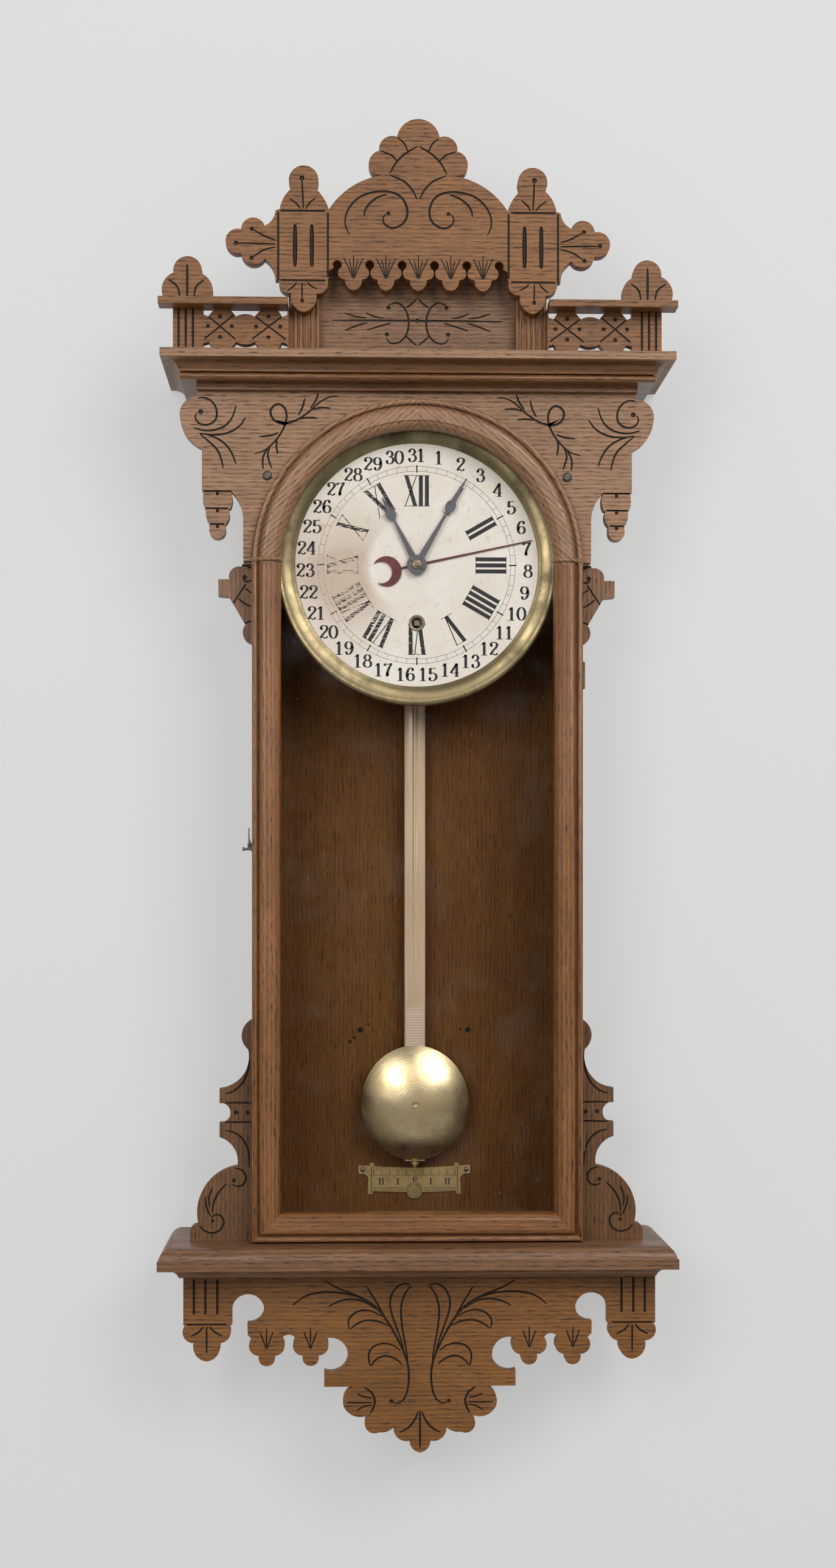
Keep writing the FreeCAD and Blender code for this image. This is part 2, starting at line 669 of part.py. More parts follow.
def make_hands():
    minute_angle, hour_angle, date_angle = 30.0, 332.5, 77.8
    plane = size("dial_plane")
    hand("calendar_hand", both_sides([
        (0, 97.8), (0.45, 97.3), (0.9, 4.92), (5.0, 0, 0.9, -4.92), (0.8, -13.33),
        (12.4, -25.7, 7.8, -35.1), (8.97, -29.0, 0, -21.1),
    ]), 3.55, plane + 1.9, 0.6, date_angle)
    hand("hour_hand", spear(7.4, 40.6, 45.6, 51.0, 62.6), 2.6, plane + 3.4, 0.7, hour_angle)
    hand("minute_hand", spear(8.3, 48.6, 54.0, 60.0, 81.8), 1.6, plane + 5.0, 0.7, minute_angle)
    collet = lathe("collet", [(1.6, plane + 5.7), (4.3, plane + 5.7), (4.2, plane + 6.1, 3.2, plane + 6.4),
                              (1.6, plane + 6.6)])
    pin = doc.addObject("Part::Cone", "taper_pin")
    pin.Radius1 = 0.5
    pin.Radius2 = 0.3
    pin.Height = 13.0
    pin.Placement = FreeCAD.Placement(V(-5.0, -plane - 6.9, 4.4), FreeCAD.Rotation(V(0, 1, 0), 131.0))
    finish(joined("hand_nut", [collet, pin]), "hand_nut")


# ---------- movement ----------

CENTRE = (0.0, 0.0)
GREAT = (0.0, -48.0)
SECOND = (-23.67, -10.81)
THIRD = (15.85, 21.86)
ESCAPE = (0.0, 36.0)
MOTION = (12.73, -12.73)
CLICK_PIVOT = (15.5, 3.0)


def tooth_outline(teeth, module, phase):
    """A spur gear's outline with involute flanks and stub tips; phase is one tooth's direction."""
    pressure = math.radians(size("pressure_angle"))
    pitch = teeth * module / 2
    base, tip, root = pitch * math.cos(pressure), pitch + 0.6 * module, pitch - 0.85 * module
    half_pitch = (math.pi / 2 - size("backlash")) / teeth
    rolled = math.tan(pressure) - pressure
    flank = []
    for radius in (root, max(root, base), (max(root, base) + pitch) / 2, pitch, (pitch + tip) / 2, tip):
        slant = math.acos(min(1.0, base / radius))
        flank.append((radius, half_pitch + rolled - (math.tan(slant) - slant)))
    points = []
    for n in range(teeth):
        middle = math.radians(phase) + 2 * math.pi * n / teeth
        tooth = [(radius, middle - half) for radius, half in flank]
        tooth += [(radius, middle + half) for radius, half in reversed(flank)]
        points += [(radius * math.cos(angle), radius * math.sin(angle)) for radius, angle in tooth]
    return points


def saw_outline(teeth, tip, root):
    """Teeth with one radial and one sloping flank, for the ratchet and the escape wheel."""
    points = []
    pitch = 2 * math.pi / teeth
    for n in range(teeth):
        for radius, angle in ((tip, n * pitch), (root, (n + 0.75) * pitch), (root, (n + 1) * pitch)):
            points.append((radius * math.cos(angle), radius * math.sin(angle)))
    return points


def toothed(name, points, start, end, place, bore=0.0, windows=0.0):
    """A flat toothed wheel between two depths, with a bore and a ring of round windows."""
    corners = [V(x, -start, z) for x, z in points]
    distinct = [corners[0]]
    for corner in corners[1:]:
        if (corner - distinct[-1]).Length > 1e-4:
            distinct.append(corner)
    face = Part.Face(Part.makePolygon(distinct + [distinct[0]]))
    shape = face.extrude(V(0, start - end, 0))
    outward_axis = V(0, -1, 0)
    if bore:
        shape = shape.cut(Part.makeCylinder(bore, end - start + 2, V(0, 1 - start, 0), outward_axis))
    for n in range(5 if windows else 0):
        angle = math.radians(size("spoke_angle") + 36 + 72 * n)
        centre = V(windows * math.cos(angle), 1 - start, windows * math.sin(angle))
        shape = shape.cut(Part.makeCylinder(windows * 0.42, end - start + 2, centre, outward_axis))
    feature = doc.addObject("Part::Feature", name)
    feature.Shape = shape
    feature.Placement.Base = V(place[0], 0, place[1])
    return feature


def meshed_phase(place, phase, teeth, other_place, other_teeth):
    """The phase that sets the other gear's gap against this gear's tooth."""
    direction = math.degrees(math.atan2(other_place[1] - place[1], other_place[0] - place[0]))
    offset = (phase - direction) * teeth / 360.0
    return direction + 180.0 + (0.5 - offset) * 360.0 / other_teeth


def gear_pair(names, teeth, module, places, spans, bores=(0.0, 0.0), windows=(0.0, 0.0)):
    """Two gears in mesh, the first with a tooth pointing along +X."""
    phases = (0.0, meshed_phase(places[0], 0.0, teeth[0], places[1], teeth[1]))
    return [toothed(names[i], tooth_outline(teeth[i], module, phases[i]), spans[i][0], spans[i][1],
                    places[i], bores[i], windows[i]) for i in (0, 1)]


def arbor(name, place, spans):
    body = lathe(name, stepped(*spans))
    body.Placement.Base = V(place[0], 0, place[1])
    return body


def make_train():
    """Great wheel to escape wheel, between the plates."""
    great, second_pinion = gear_pair(
        ("great_teeth", "second_pinion"), (84, 14), 0.9, (GREAT, SECOND),
        ((61.0, 63.0), (59.6, 64.4)), (3.05, 0.0), (23.0, 0.0))
    second, centre_pinion = gear_pair(
        ("second_teeth", "centre_pinion"), (64, 16), 0.65, (SECOND, CENTRE),
        ((54.0, 55.6), (52.4, 57.2)), (0.0, 2.05), (12.5, 0.0))
    centre, third_pinion = gear_pair(
        ("centre_teeth", "third_pinion"), (80, 10), 0.6, (CENTRE, THIRD),
        ((48.0, 49.6), (46.6, 51.0)), (2.05, 0.0), (14.5, 0.0))
    third, escape_pinion = gear_pair(
        ("third_teeth", "escape_pinion"), (75, 10), 0.5, (THIRD, ESCAPE),
        ((43.0, 44.4), (41.8, 45.6)), (0.0, 0.0), (11.0, 0.0))
    escape = toothed("escape_teeth", saw_outline(42, 15.5, 12.8), 53.0, 54.2, ESCAPE, 0.0, 7.6)
    hub = arbor_ring("great_hub", GREAT, 3.05, 6.0, 60.6, 64.4)
    stud = round_bar("click_stud", 1.2, 58.0, 61.5, GREAT[0] + CLICK_PIVOT[0], GREAT[1] + CLICK_PIVOT[1])
    finish(joined("great_wheel", [great, hub, stud]), "great_wheel")
    pipe = arbor_ring("centre_pipe", CENTRE, 2.05, 3.3, 46.4, 58.6)
    finish(joined("centre_wheel", [centre, centre_pinion, pipe]), "centre_wheel")
    pivots = ((0.8, 38.2, 40.4), (1.1, 40.4, 65.6), (0.8, 65.6, 67.8))
    for name, place, wheels in (("second", SECOND, [second, second_pinion]),
                                ("third", THIRD, [third, third_pinion]),
                                ("escape", ESCAPE, [escape, escape_pinion])):
        finish(joined(name + "_wheel", wheels + [arbor(name + "_arbor", place, pivots)]), name + "_wheel")


def arbor_ring(name, place, inner, outer, start, end):
    ring = lathe(name, tube(inner, outer, start, end))
    ring.Placement.Base = V(place[0], 0, place[1])
    return ring


def make_winding():
    """Winding arbor with its ratchet and squared end, the click that holds it, and the mainspring."""
    shaft = arbor("winding_shaft", GREAT, ((2.5, 37.6, 40.6), (3.0, 40.6, 65.4), (2.5, 65.4, 69.0)))
    ratchet = toothed("ratchet", saw_outline(24, 10.0, 8.8), 58.2, 60.0, GREAT)
    square = block("winding_square", (-2.1, -size("dial_plane") - 1.4, GREAT[1] - 2.1),
                   (2.1, -68.4, GREAT[1] + 2.1))
    finish(joined("winding_arbor", [shaft, ratchet, square]), "winding_arbor")
    x, z = CLICK_PIVOT
    click = new_body("click")
    path = [(6.6, 8.4), (x - 1.35, z - 2.22), (x + 2.22, z - 1.35, x + 1.35, z + 2.22), (7.1, 9.1)]
    pad(click, "XZ_Plane", [edges_of(path), circle(x, z, 1.25)], "1.5", "58.4")
    finish(click, "click", GREAT[0], GREAT[1])
    spring = new_body("mainspring")
    outer_run, inner_run = spiral(7, 5.5, 2.3, 0.25), spiral(7, 5.5, 2.3, -0.25)
    pad(spring, "XZ_Plane", [edges_of(outer_run + backwards(inner_run))], "16", "41")
    finish(spring, "mainspring", GREAT[0], GREAT[1])


def spiral(turns, start, pitch, shift):
    """A spiral of half circles whose centres alternate, offset sideways by shift."""
    run = [(start + shift, 0.0)]
    for half in range(2 * turns):
        side = 1 if half % 2 == 0 else -1
        centre = 0.0 if side > 0 else pitch / 2
        radius = start + half * pitch / 2 + shift
        run.append((centre, side * radius, centre - side * radius, 0.0))
    return run


def make_motion_work():
    """Cannon pinion and centre arbor, motion wheel on its stud, hour wheel and calendar wheel."""
    plane = size("dial_plane")
    cannon, motion = gear_pair(
        ("cannon_pinion", "motion_teeth"), (12, 36), 0.75, (CENTRE, MOTION),
        ((68.8, 71.6), (69.4, 70.8)), (0.0, 1.65))
    motion_pinion, hour = gear_pair(
        ("motion_pinion", "hour_teeth"), (10, 40), 0.72, (MOTION, CENTRE),
        ((70.8, 74.0), (72.2, 73.4)), (1.65, 1.65))
    steps = ((0.8, 38.2, 40.4), (2.0, 40.4, 68.8), (1.6, 68.8, plane + 7.8))
    collar = arbor_ring("centre_collar", CENTRE, 1.0, 3.2, 44.4, 46.2)
    finish(joined("centre_arbor", [arbor("centre_shaft", CENTRE, steps), cannon, collar]), "centre_arbor")
    finish(joined("motion_wheel", [motion, motion_pinion]), "motion_wheel")
    pipe = arbor_ring("hour_pipe", CENTRE, 1.65, 2.6, 72.2, plane + 4.3)
    finish(joined("hour_wheel", [hour, pipe]), "hour_wheel")
    date = toothed("calendar_teeth", saw_outline(31, 11.0, 9.6), 75.2, 76.4, CENTRE, 2.65)
    date_pipe = arbor_ring("calendar_pipe", CENTRE, 2.65, 3.55, 75.2, plane + 2.6)
    finish(joined("calendar_wheel", [date, date_pipe]), "calendar_wheel")


def make_plates():
    """Brass plates with pivot holes; pillars and the pendulum's cock stand on the back one."""
    back, front, thick = size("plate_back"), size("plate_front"), size("plate_thickness")
    pivot_height = size("pendulum_pivot")
    corners = [(x, z) for x in (-37.0, 37.0) for z in (-84.0, 63.0)]
    outline = [(-43.0, -86.0), (-38.0, -91.0), (38.0, -91.0), (43.0, -86.0), (43.0, 65.0), (38.0, 70.0),
               (-38.0, 70.0), (-43.0, 65.0)]
    pivots = [circle(x, z, 0.85) for x, z in (SECOND, THIRD, ESCAPE)]
    front_holes = pivots + [circle(*CENTRE, 2.05), circle(*GREAT, 2.55), circle(0, pivot_height, 0.85)]
    front_holes += [circle(x, z, 2.05) for x, z in corners]
    body = new_body("front_sheet")
    pad(body, "XZ_Plane", [edges_of(outline)] + front_holes, "Sizes.plate_thickness", "Sizes.plate_front")
    stud = round_bar("motion_stud", 1.6, front + 0.5, 74.2, *MOTION)
    nuts = [arbor_ring("pillar_nut", place, 2.05, 3.6, front + thick - 0.1, front + thick + 2.4)
            for place in corners]
    finish(joined("movement_plate_front", [body, stud] + nuts), "movement_plate_front")
    back_holes = [circle(x, z, 0.85) for x, z in (SECOND, THIRD, ESCAPE, CENTRE)]
    back_holes += [circle(*GREAT, 2.55), circle(0, pivot_height, 1.25)]
    rear = new_body("back_sheet")
    pad(rear, "XZ_Plane", [edges_of(outline)] + back_holes, "Sizes.plate_thickness", "Sizes.plate_back")
    wall = size("hanger_plate") + size("backboard_depth")
    pillar = ((5.5, wall, wall + 1.6), (3.0, wall + 1.6, front), (2.0, front, front + thick + 3.2))
    metal = [rear] + [arbor("pillar", place, pillar) for place in corners]
    arm = block("cock_arm", (-4.0, -back - 0.5, pivot_height + 4.0), (4.0, -24.0, pivot_height + 11.0))
    jaw = block("cock_jaw", (-4.0, -31.0, pivot_height + 0.4), (4.0, -25.0, pivot_height + 5.0))
    finish(joined("movement_plate_back", metal + [arm, jaw]), "movement_plate_back")


def make_verge():
    """Pallets, arbor and crutch; the crutch's pin stands in the rod's slot."""
    top = size("pendulum_pivot")
    place = (0.0, top)
    shaft = arbor("verge_arbor", place, ((1.2, 32.6, 65.6), (0.8, 65.6, 67.8)))
    inner, outer, reach = 16.7, 20.4, math.radians(35)
    arch = new_body("verge_arch")
    sides = [(radius * math.sin(reach), ESCAPE[1] + radius * math.cos(reach)) for radius in (inner, outer)]
    (near, near_level), (far, far_level) = sides
    path = [sides[0], sides[1], (0, ESCAPE[1] + outer, -far, far_level), (-near, near_level),
            (0, ESCAPE[1] + inner, near, near_level)]
    pad(arch, "XZ_Plane", [edges_of(path)], "1.6", "52.8")
    hub = round_bar("verge_hub", 2.6, 52.4, 54.8, 0.0, top)
    bar = block("crutch_bar", (-2.0, -35.0, 3.0), (2.0, -33.4, top + 2.0))
    pin = round_bar("crutch_pin", 1.2, 24.2, 34.0, 0.0, 6.0)
    finish(joined("verge", [shaft, arch, hub, bar, pin]), "verge")


# ---------- pendulum ----------

def make_pendulum():
    """Crowned wooden rod with a thin flat foot, brass bob in front of the foot, nut and spring."""
    top, depth = size("pendulum_pivot"), size("pendulum_depth")
    bob_level = top - size("bob_drop")
    radius, half = size("bob_radius"), size("rod_width") / 2
    back, crown, flat = size("rod_back"), size("rod_front"), size("rod_foot_front")
    rod_top, foot_top, rod_low = 38.0, -362.0, bob_level - radius * size("bob_stretch") - 1.0
    rod = new_body("rod")
    section = [(half, -back), (half, -back - 2.4), (0, -crown, -half, -back - 2.4), (-half, -back)]
    pad(rod, "XY_Plane", [edges_of(section)], "%r" % (rod_top - rod_low), "%r" % rod_low)
    pocket_through(rod, "YZ_Plane", [edges_of([
        (-flat, rod_low - 1), (-flat, foot_top - 12.0), (-flat - 0.5, foot_top - 4.0, -crown - 1, foot_top),
        (-crown - 1, rod_low - 1),
    ])])
    slot = [(-1.5, 2.0), (0, 0.5, 1.5, 2.0), (1.5, 10.0), (0, 11.5, -1.5, 10.0)]
    pocket_through(rod, "XZ_Plane", [edges_of(slot)])
    finish(rod, "pendulum_rod")
    rim = flat + 0.2
    pressing = lathe("pressing", [
        (0, rim), (radius, rim), (radius, rim + 1.0), (radius * 0.62, rim + 9.4, 2.6, rim + 14.0),
        (2.6, rim + 14.5), (1.2, rim + 15.0), (0, rim + 15.0),
    ])
    doc.recompute()
    taller = FreeCAD.Matrix()
    taller.scale(1.0, 1.0, size("bob_stretch"))
    lens = doc.addObject("Part::Feature", "lens")
    lens.Shape = pressing.Shape.transformGeometry(taller)
    lens.Placement.Base = V(0, 0, bob_level)
    guide = block("bob_guide", (-half - 2.2, -rim - 0.5, bob_level - 22.0),
                  (half + 2.2, 1.4 - back, bob_level + 22.0))
    passage = block("bob_passage", (-half - 0.15, -rim, bob_level - 30.0),
                    (half + 0.15, 0.15 - back, bob_level + 30.0))
    finish(less("bob", joined("bob_metal", [lens, guide]), [passage]), "pendulum_bob")
    spring = block("spring_strip", (-0.15, -depth - 2.5, 43.0), (0.15, -depth + 2.5, top - 0.3))
    ferrule = block("ferrule", (-4.0, -depth - 2.6, 38.0), (4.0, -depth + 2.6, 44.0))
    finish(joined("suspension", [spring, ferrule]), "suspension_spring")
    nut = joined("rating", [
        upright_bar("rating_pin", 0.95, rod_low - 18.4, rod_low, depth),
        upright_bar("rating_ring", 4.2, rod_low - 2.6, rod_low - 0.4, depth),
        upright_bar("rating_boss", 2.4, rod_low - 4.6, rod_low - 2.4, depth),
    ])
    finish(nut, "rating_nut")


BEAT_SCREW = (44.3, -507.2)


def make_beat_plate():
    """Pressed brass plate on the backboard that shows how far the pendulum swings."""
    half = [
        (0, -505.6), (17.0, -505.2, 34.3, -504.0), (34.3, -501.5), (38.2, -501.5), (38.2, -503.8),
        (47.8, -503.6), (47.8, -510.7), (43.8, -510.9), (40.4, -512.8, 39.4, -517.0), (40.0, -528.3),
        (36.0, -528.3), (35.2, -525.8), (6.8, -526.7), (4.8, -530.6, 0, -532.1),
    ]
    back = "Sizes.hanger_plate + Sizes.backboard_depth"
    side, level = BEAT_SCREW
    board("beat_plate", both_sides(half), back, "1.2", [circle(x * side, level, 1.1) for x in (-1, 1)])


# ---------- fixings ----------

def screw(name, head, shank, seat, length, x, z):
    """A round-headed wood screw whose head sits at a depth, with its slot."""
    tip = seat - length
    body = lathe(name, [
        (0, tip), (shank * 0.3, tip), (shank, tip + 2 * shank), (shank, seat), (head, seat),
        (head * 0.72, seat + head * 0.42, 0, seat + head * 0.55),
    ])
    body.Placement.Base = V(x, 0, z)
    slot = block(name + "_slot", (x - head, -seat - head, z - head * 0.12),
                 (x + head, -seat - head * 0.25, z + head * 0.12))
    return less(name + "_cut", body, [slot])


def make_fixings():
    front = size("spandrel_front")
    wall = size("hanger_plate") + size("backboard_depth")
    for n, side in enumerate((-1, 1)):
        fixings.append(screw("board_screw_%d" % n, 4.0, 2.0, front, size("board"),
                             side * size("board_screw_side"), size("board_screw_level")))
        fixings.append(screw("plate_screw_%d" % n, 2.0, 1.0, wall + 1.2, 1.2,
                             side * BEAT_SCREW[0], BEAT_SCREW[1]))
    compound("case_screws", fixings)
    hanger = size("hanger_height")
    outline = [(-14.0, 118.0), (14.0, 118.0), (14.0, hanger - 4.0), (0, hanger + 12.0, -14.0, hanger - 4.0)]
    board("hanger_plate", outline, "0", "Sizes.hanger_plate", [circle(0, hanger, size("hanger_radius"))])


def build():
    make_case()
    make_cornice()
    make_shelf()
    make_spandrel()
    make_brackets()
    make_apron()
    make_plaque()
    make_crest_supports()
    make_fences()
    make_door_frame()
    make_glass()
    make_hinges()
    make_latch()
    make_dial()
    make_hands()
    make_train()
    make_winding()
    make_motion_work()
    make_plates()
    make_verge()
    make_pendulum()
    make_beat_plate()
    make_fixings()


def check_and_write():
    doc.recompute()
    for item in doc.Objects:
        if "Invalid" in item.State or "Error" in item.State:
            raise RuntimeError("%s failed: %s" % (item.Name, item.State))
    os.makedirs("parts", exist_ok=True)
    for item in sub_parts:
        shape = item.Shape
        if shape.isNull() or not shape.isValid() or shape.Volume <= 0:
            raise RuntimeError("%s has no valid shape" % item.Label)
        shape.exportStep("parts/%s.step" % item.Label)


build()
check_and_write()
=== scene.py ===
import math
import bmesh
import bpy
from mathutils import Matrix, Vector


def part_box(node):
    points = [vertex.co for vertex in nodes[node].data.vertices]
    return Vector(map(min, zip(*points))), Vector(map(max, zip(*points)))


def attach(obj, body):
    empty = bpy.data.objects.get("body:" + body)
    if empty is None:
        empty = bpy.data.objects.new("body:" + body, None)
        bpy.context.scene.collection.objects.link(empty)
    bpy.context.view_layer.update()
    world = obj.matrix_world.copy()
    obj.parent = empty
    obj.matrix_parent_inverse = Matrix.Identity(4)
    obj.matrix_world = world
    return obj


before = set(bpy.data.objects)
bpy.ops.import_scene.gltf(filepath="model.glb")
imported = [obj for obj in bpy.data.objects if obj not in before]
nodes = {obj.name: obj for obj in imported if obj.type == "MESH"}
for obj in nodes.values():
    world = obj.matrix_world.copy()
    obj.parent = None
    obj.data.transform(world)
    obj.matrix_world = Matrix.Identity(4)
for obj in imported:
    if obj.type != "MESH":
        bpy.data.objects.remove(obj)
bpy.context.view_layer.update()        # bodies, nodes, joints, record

# Carved oak wall clock: finishes, carving, dial printing, small fittings, wall, light and camera.
# Lengths in the lists are millimetres in the dial's own frame: X to the right, Z up from the
# dial's centre, and "depth" out from the wall. at() turns them into metres in the CAD frame.

MM = 0.001
WELD_GAP = 0.01 * MM        # the CAD faces meet within this distance
DIAL_LEVEL = sum(corner[2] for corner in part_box("dial")) / 2
FOOT_SHOULDER = -0.5455     # where the rod's crown ends above the bob, in the CAD frame


def at(x, depth, z):
    return Vector((x * MM, -depth * MM, z * MM + DIAL_LEVEL))


def front_of(node):
    """The depth of a node's front face."""
    return -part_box(node)[0][1] / MM


def closed_mesh(name, verts, faces, *materials):
    """A mesh of closed solids with every face turned outwards."""
    mesh = bpy.data.meshes.new(name)
    mesh.from_pydata(verts, [], faces)
    for material in materials:
        mesh.materials.append(material)
    work = bmesh.new()
    work.from_mesh(mesh)
    bmesh.ops.recalc_face_normals(work, faces=work.faces)
    work.to_mesh(mesh)
    work.free()
    return mesh


def lofted_faces(rows, count):
    """Faces of a closed loft: its two caps, and the quads between rows of count points."""
    last = (rows - 1) * count
    faces = [tuple(range(count)), tuple(range(last, last + count))]
    for row in range(0, last, count):
        for n in range(count):
            a, b = row + n, row + (n + 1) % count
            faces.append((a, b, b + count, a + count))
    return faces


def placed(name, data):
    """A new object in the scene."""
    thing = bpy.data.objects.new(name, data)
    bpy.context.scene.collection.objects.link(thing)
    return thing


def circle(x, z, radius, count):
    """Points around a circle, anticlockwise from the right."""
    turns = [2 * math.pi * n / count for n in range(count)]
    return [(x + radius * math.cos(turn), z + radius * math.sin(turn)) for turn in turns]


# ---------- finishes ----------

class Finish:
    """A node material under construction: each call adds one node and returns its output."""

    def __init__(self, name, **settings):
        self.material = bpy.data.materials.new(name)
        self.material.use_nodes = True
        self.tree = self.material.node_tree
        self.shader = self.tree.nodes["Principled BSDF"]
        for key, value in settings.items():
            self.shader.inputs[key.replace("_", " ")].default_value = value
        self.place = self.add("TexCoord").outputs["Object"]

    def add(self, kind, sockets=(), **properties):
        node = self.tree.nodes.new("ShaderNode" + kind)
        for key, value in properties.items():
            setattr(node, key, value)
        for key, value in dict(sockets).items():
            if isinstance(value, bpy.types.NodeSocket):
                self.tree.links.new(value, node.inputs[key])
            else:
                node.inputs[key].default_value = value
        return node

    def set(self, key, socket):
        self.tree.links.new(socket, self.shader.inputs[key])

    def mapped(self, scale=(1, 1, 1), shift=(0, 0, 0)):
        """The place on the object, scaled and shifted."""
        sockets = {"Vector": self.place, "Scale": scale, "Location": shift}
        return self.add("Mapping", sockets).outputs["Vector"]

    def noise(self, vector, scale, detail=3.0, roughness=0.5):
        sockets = {"Vector": vector, "Scale": scale, "Detail": detail, "Roughness": roughness}
        return self.add("TexNoise", sockets).outputs["Fac"]

    def ramp(self, fac, *stops):
        """Colours at positions; a plain number is a grey."""
        node = self.add("ValToRGB", {"Fac": fac})
        elements = node.color_ramp.elements
        while len(elements) < len(stops):
            elements.new(0.5)
        for element, (position, colour) in zip(elements, stops):
            element.position = position
            grey = isinstance(colour, (int, float))
            element.color = (colour, colour, colour, 1) if grey else (*colour, 1)
        return node.outputs["Color"]

    def mix(self, fac, first, second, blend="MIX"):
        node = self.add("Mix", data_type="RGBA", blend_type=blend)
        for key, value in ((0, fac), (6, first), (7, second)):
            if isinstance(value, bpy.types.NodeSocket):
                self.tree.links.new(value, node.inputs[key])
            else:
                node.inputs[key].default_value = value if key == 0 else (*value, 1)
        return node.outputs[2]

    def sum(self, operation, first, second):
        """One step of arithmetic."""
        return self.add("Math", {0: first, 1: second}, operation=operation).outputs[0]

    def distance_from(self, centre, across=1.0, up=1.0):
        """Distance from an axis that runs in Y, with X and Z each scaled."""
        flattened = self.mapped((across, 0, up), (-centre[0] * across, 0, -centre[2] * up))
        return self.add("VectorMath", {0: flattened}, operation="LENGTH").outputs["Value"]

    def bump(self, *heights):
        """Chains (height, strength, distance) bumps and feeds the shader's normal."""
        normal = None
        for height, strength, distance in heights:
            sockets = {"Height": height, "Strength": strength, "Distance": distance}
            if normal:
                sockets["Normal"] = normal
            normal = self.add("Bump", sockets).outputs["Normal"]
        self.set("Normal", normal)


def oak(name, along, light, dark, shift, pore=(0.016, 0.007, 0.003), gloss=0.42, figure=1.0,
        shine=0.4):
    """Plain-sawn oak: ring figure, open pores drawn out along the grain, unevenly worn wax.

    along is "X", "Z" or a lean in degrees from X; figure is how strongly the rings show, gloss
    the roughness of the wax and shine its strength; shift moves the pattern, so that no two
    boards are alike.
    """
    f = Finish(name, Coat_Weight=0.1 * shine, Coat_Roughness=0.3, Specular_IOR_Level=shine)
    if along == "Z":
        slow, fast, across = (1, 1, 0.1), (1, 1, 0.06), "X"
    else:
        slow, fast, across = (0.1, 1, 1), (0.06, 1, 1), "Z"
    if along not in ("X", "Z"):
        turned = {"Vector": f.place, "Rotation": (0, math.radians(along), 0)}
        f.place = f.add("Mapping", turned).outputs["Vector"]

    stretched = f.mapped(slow, (shift, shift * 0.7, shift * 1.3))
    rings = f.add("TexWave", {
        "Vector": stretched, "Scale": 88.0, "Distortion": 7.0, "Detail": 3.0, "Detail Scale": 0.3,
        "Detail Roughness": 0.6,
    }, wave_type="BANDS", bands_direction=across).outputs["Fac"]
    broad = f.noise(f.mapped((1, 1, 1), (shift, 0, 0)), 9.0, 4.0)
    streaks = f.noise(stretched, 130.0, 4.0, 0.6)
    fibre = f.noise(stretched, 620.0, 4.0, 0.65)
    pores = f.noise(f.mapped(fast, (shift * 2, shift, shift * 3)), 1700.0, 2.0, 0.5)
    dashes = f.ramp(pores, (0.54, 0.0), (0.64, 1.0))

    tone = f.sum("ADD", f.sum("MULTIPLY", rings, 0.22 * figure), f.sum("MULTIPLY", broad, 0.55))
    tone = f.sum("ADD", tone, f.sum("MULTIPLY", streaks, 0.6))
    middle = 0.575 + 0.11 * figure
    body = f.ramp(tone, (middle - 0.3, dark), (middle + 0.3, light))
    body = f.mix(0.5, body, f.ramp(fibre, (0.3, 0.36), (0.7, 0.86)), "SOFT_LIGHT")

    # The pores crowd into the early wood of each ring.
    early = f.sum("MULTIPLY", dashes, f.ramp(rings, (0.2, 0.9), (0.8, 0.25)))
    f.set("Base Color", f.mix(early, body, pore))
    f.set("Roughness", f.ramp(broad, (0.3, gloss - 0.08), (0.7, gloss + 0.14)))
    f.bump((fibre, 0.2, 0.0004), (f.sum("SUBTRACT", 1.0, early), 0.35, 0.0004))
    return f.material


def rod_finish():
    """Tan varnished stick; the flat foot above the bob is left with its saw marks."""
    f = Finish("rod_varnish", Coat_Weight=0.35, Coat_Roughness=0.22)
    grain = f.noise(f.mapped((1, 1, 0.05)), 700.0, 4.0, 0.6)
    tone = f.noise(f.mapped(), 12.0, 3.0)
    varnish = f.mix(f.ramp(tone, (0.3, 0.0), (0.7, 1.0)), (0.60, 0.43, 0.28), (0.50, 0.35, 0.22))
    varnish = f.mix(0.35, varnish, f.ramp(grain, (0.3, 0.3), (0.7, 0.8)), "SOFT_LIGHT")

    saw = {"Vector": f.place, "Scale": 230.0, "Distortion": 1.6, "Detail": 2.0}
    marks = f.add("TexWave", saw, wave_type="BANDS", bands_direction="Z").outputs["Fac"]
    sawn = f.ramp(marks, (0.15, (0.33, 0.22, 0.14)), (0.6, (0.60, 0.47, 0.36)))
    level = f.add("SeparateXYZ", {0: f.place}).outputs["Z"]
    below = f.sum("SUBTRACT", FOOT_SHOULDER, level)
    foot = f.ramp(f.sum("MULTIPLY", below, 400.0), (0.0, 0.0), (1.0, 1.0))

    f.set("Base Color", f.mix(foot, varnish, sawn))
    coarse = f.sum("ADD", f.sum("MULTIPLY", foot, 0.5), f.sum("MULTIPLY", tone, 0.3))
    f.set("Roughness", f.ramp(coarse, (0.0, 0.2), (0.8, 0.6)))
    f.bump((grain, 0.1, 0.0003), (f.sum("MULTIPLY", marks, foot), 0.4, 0.0003))
    return f.material


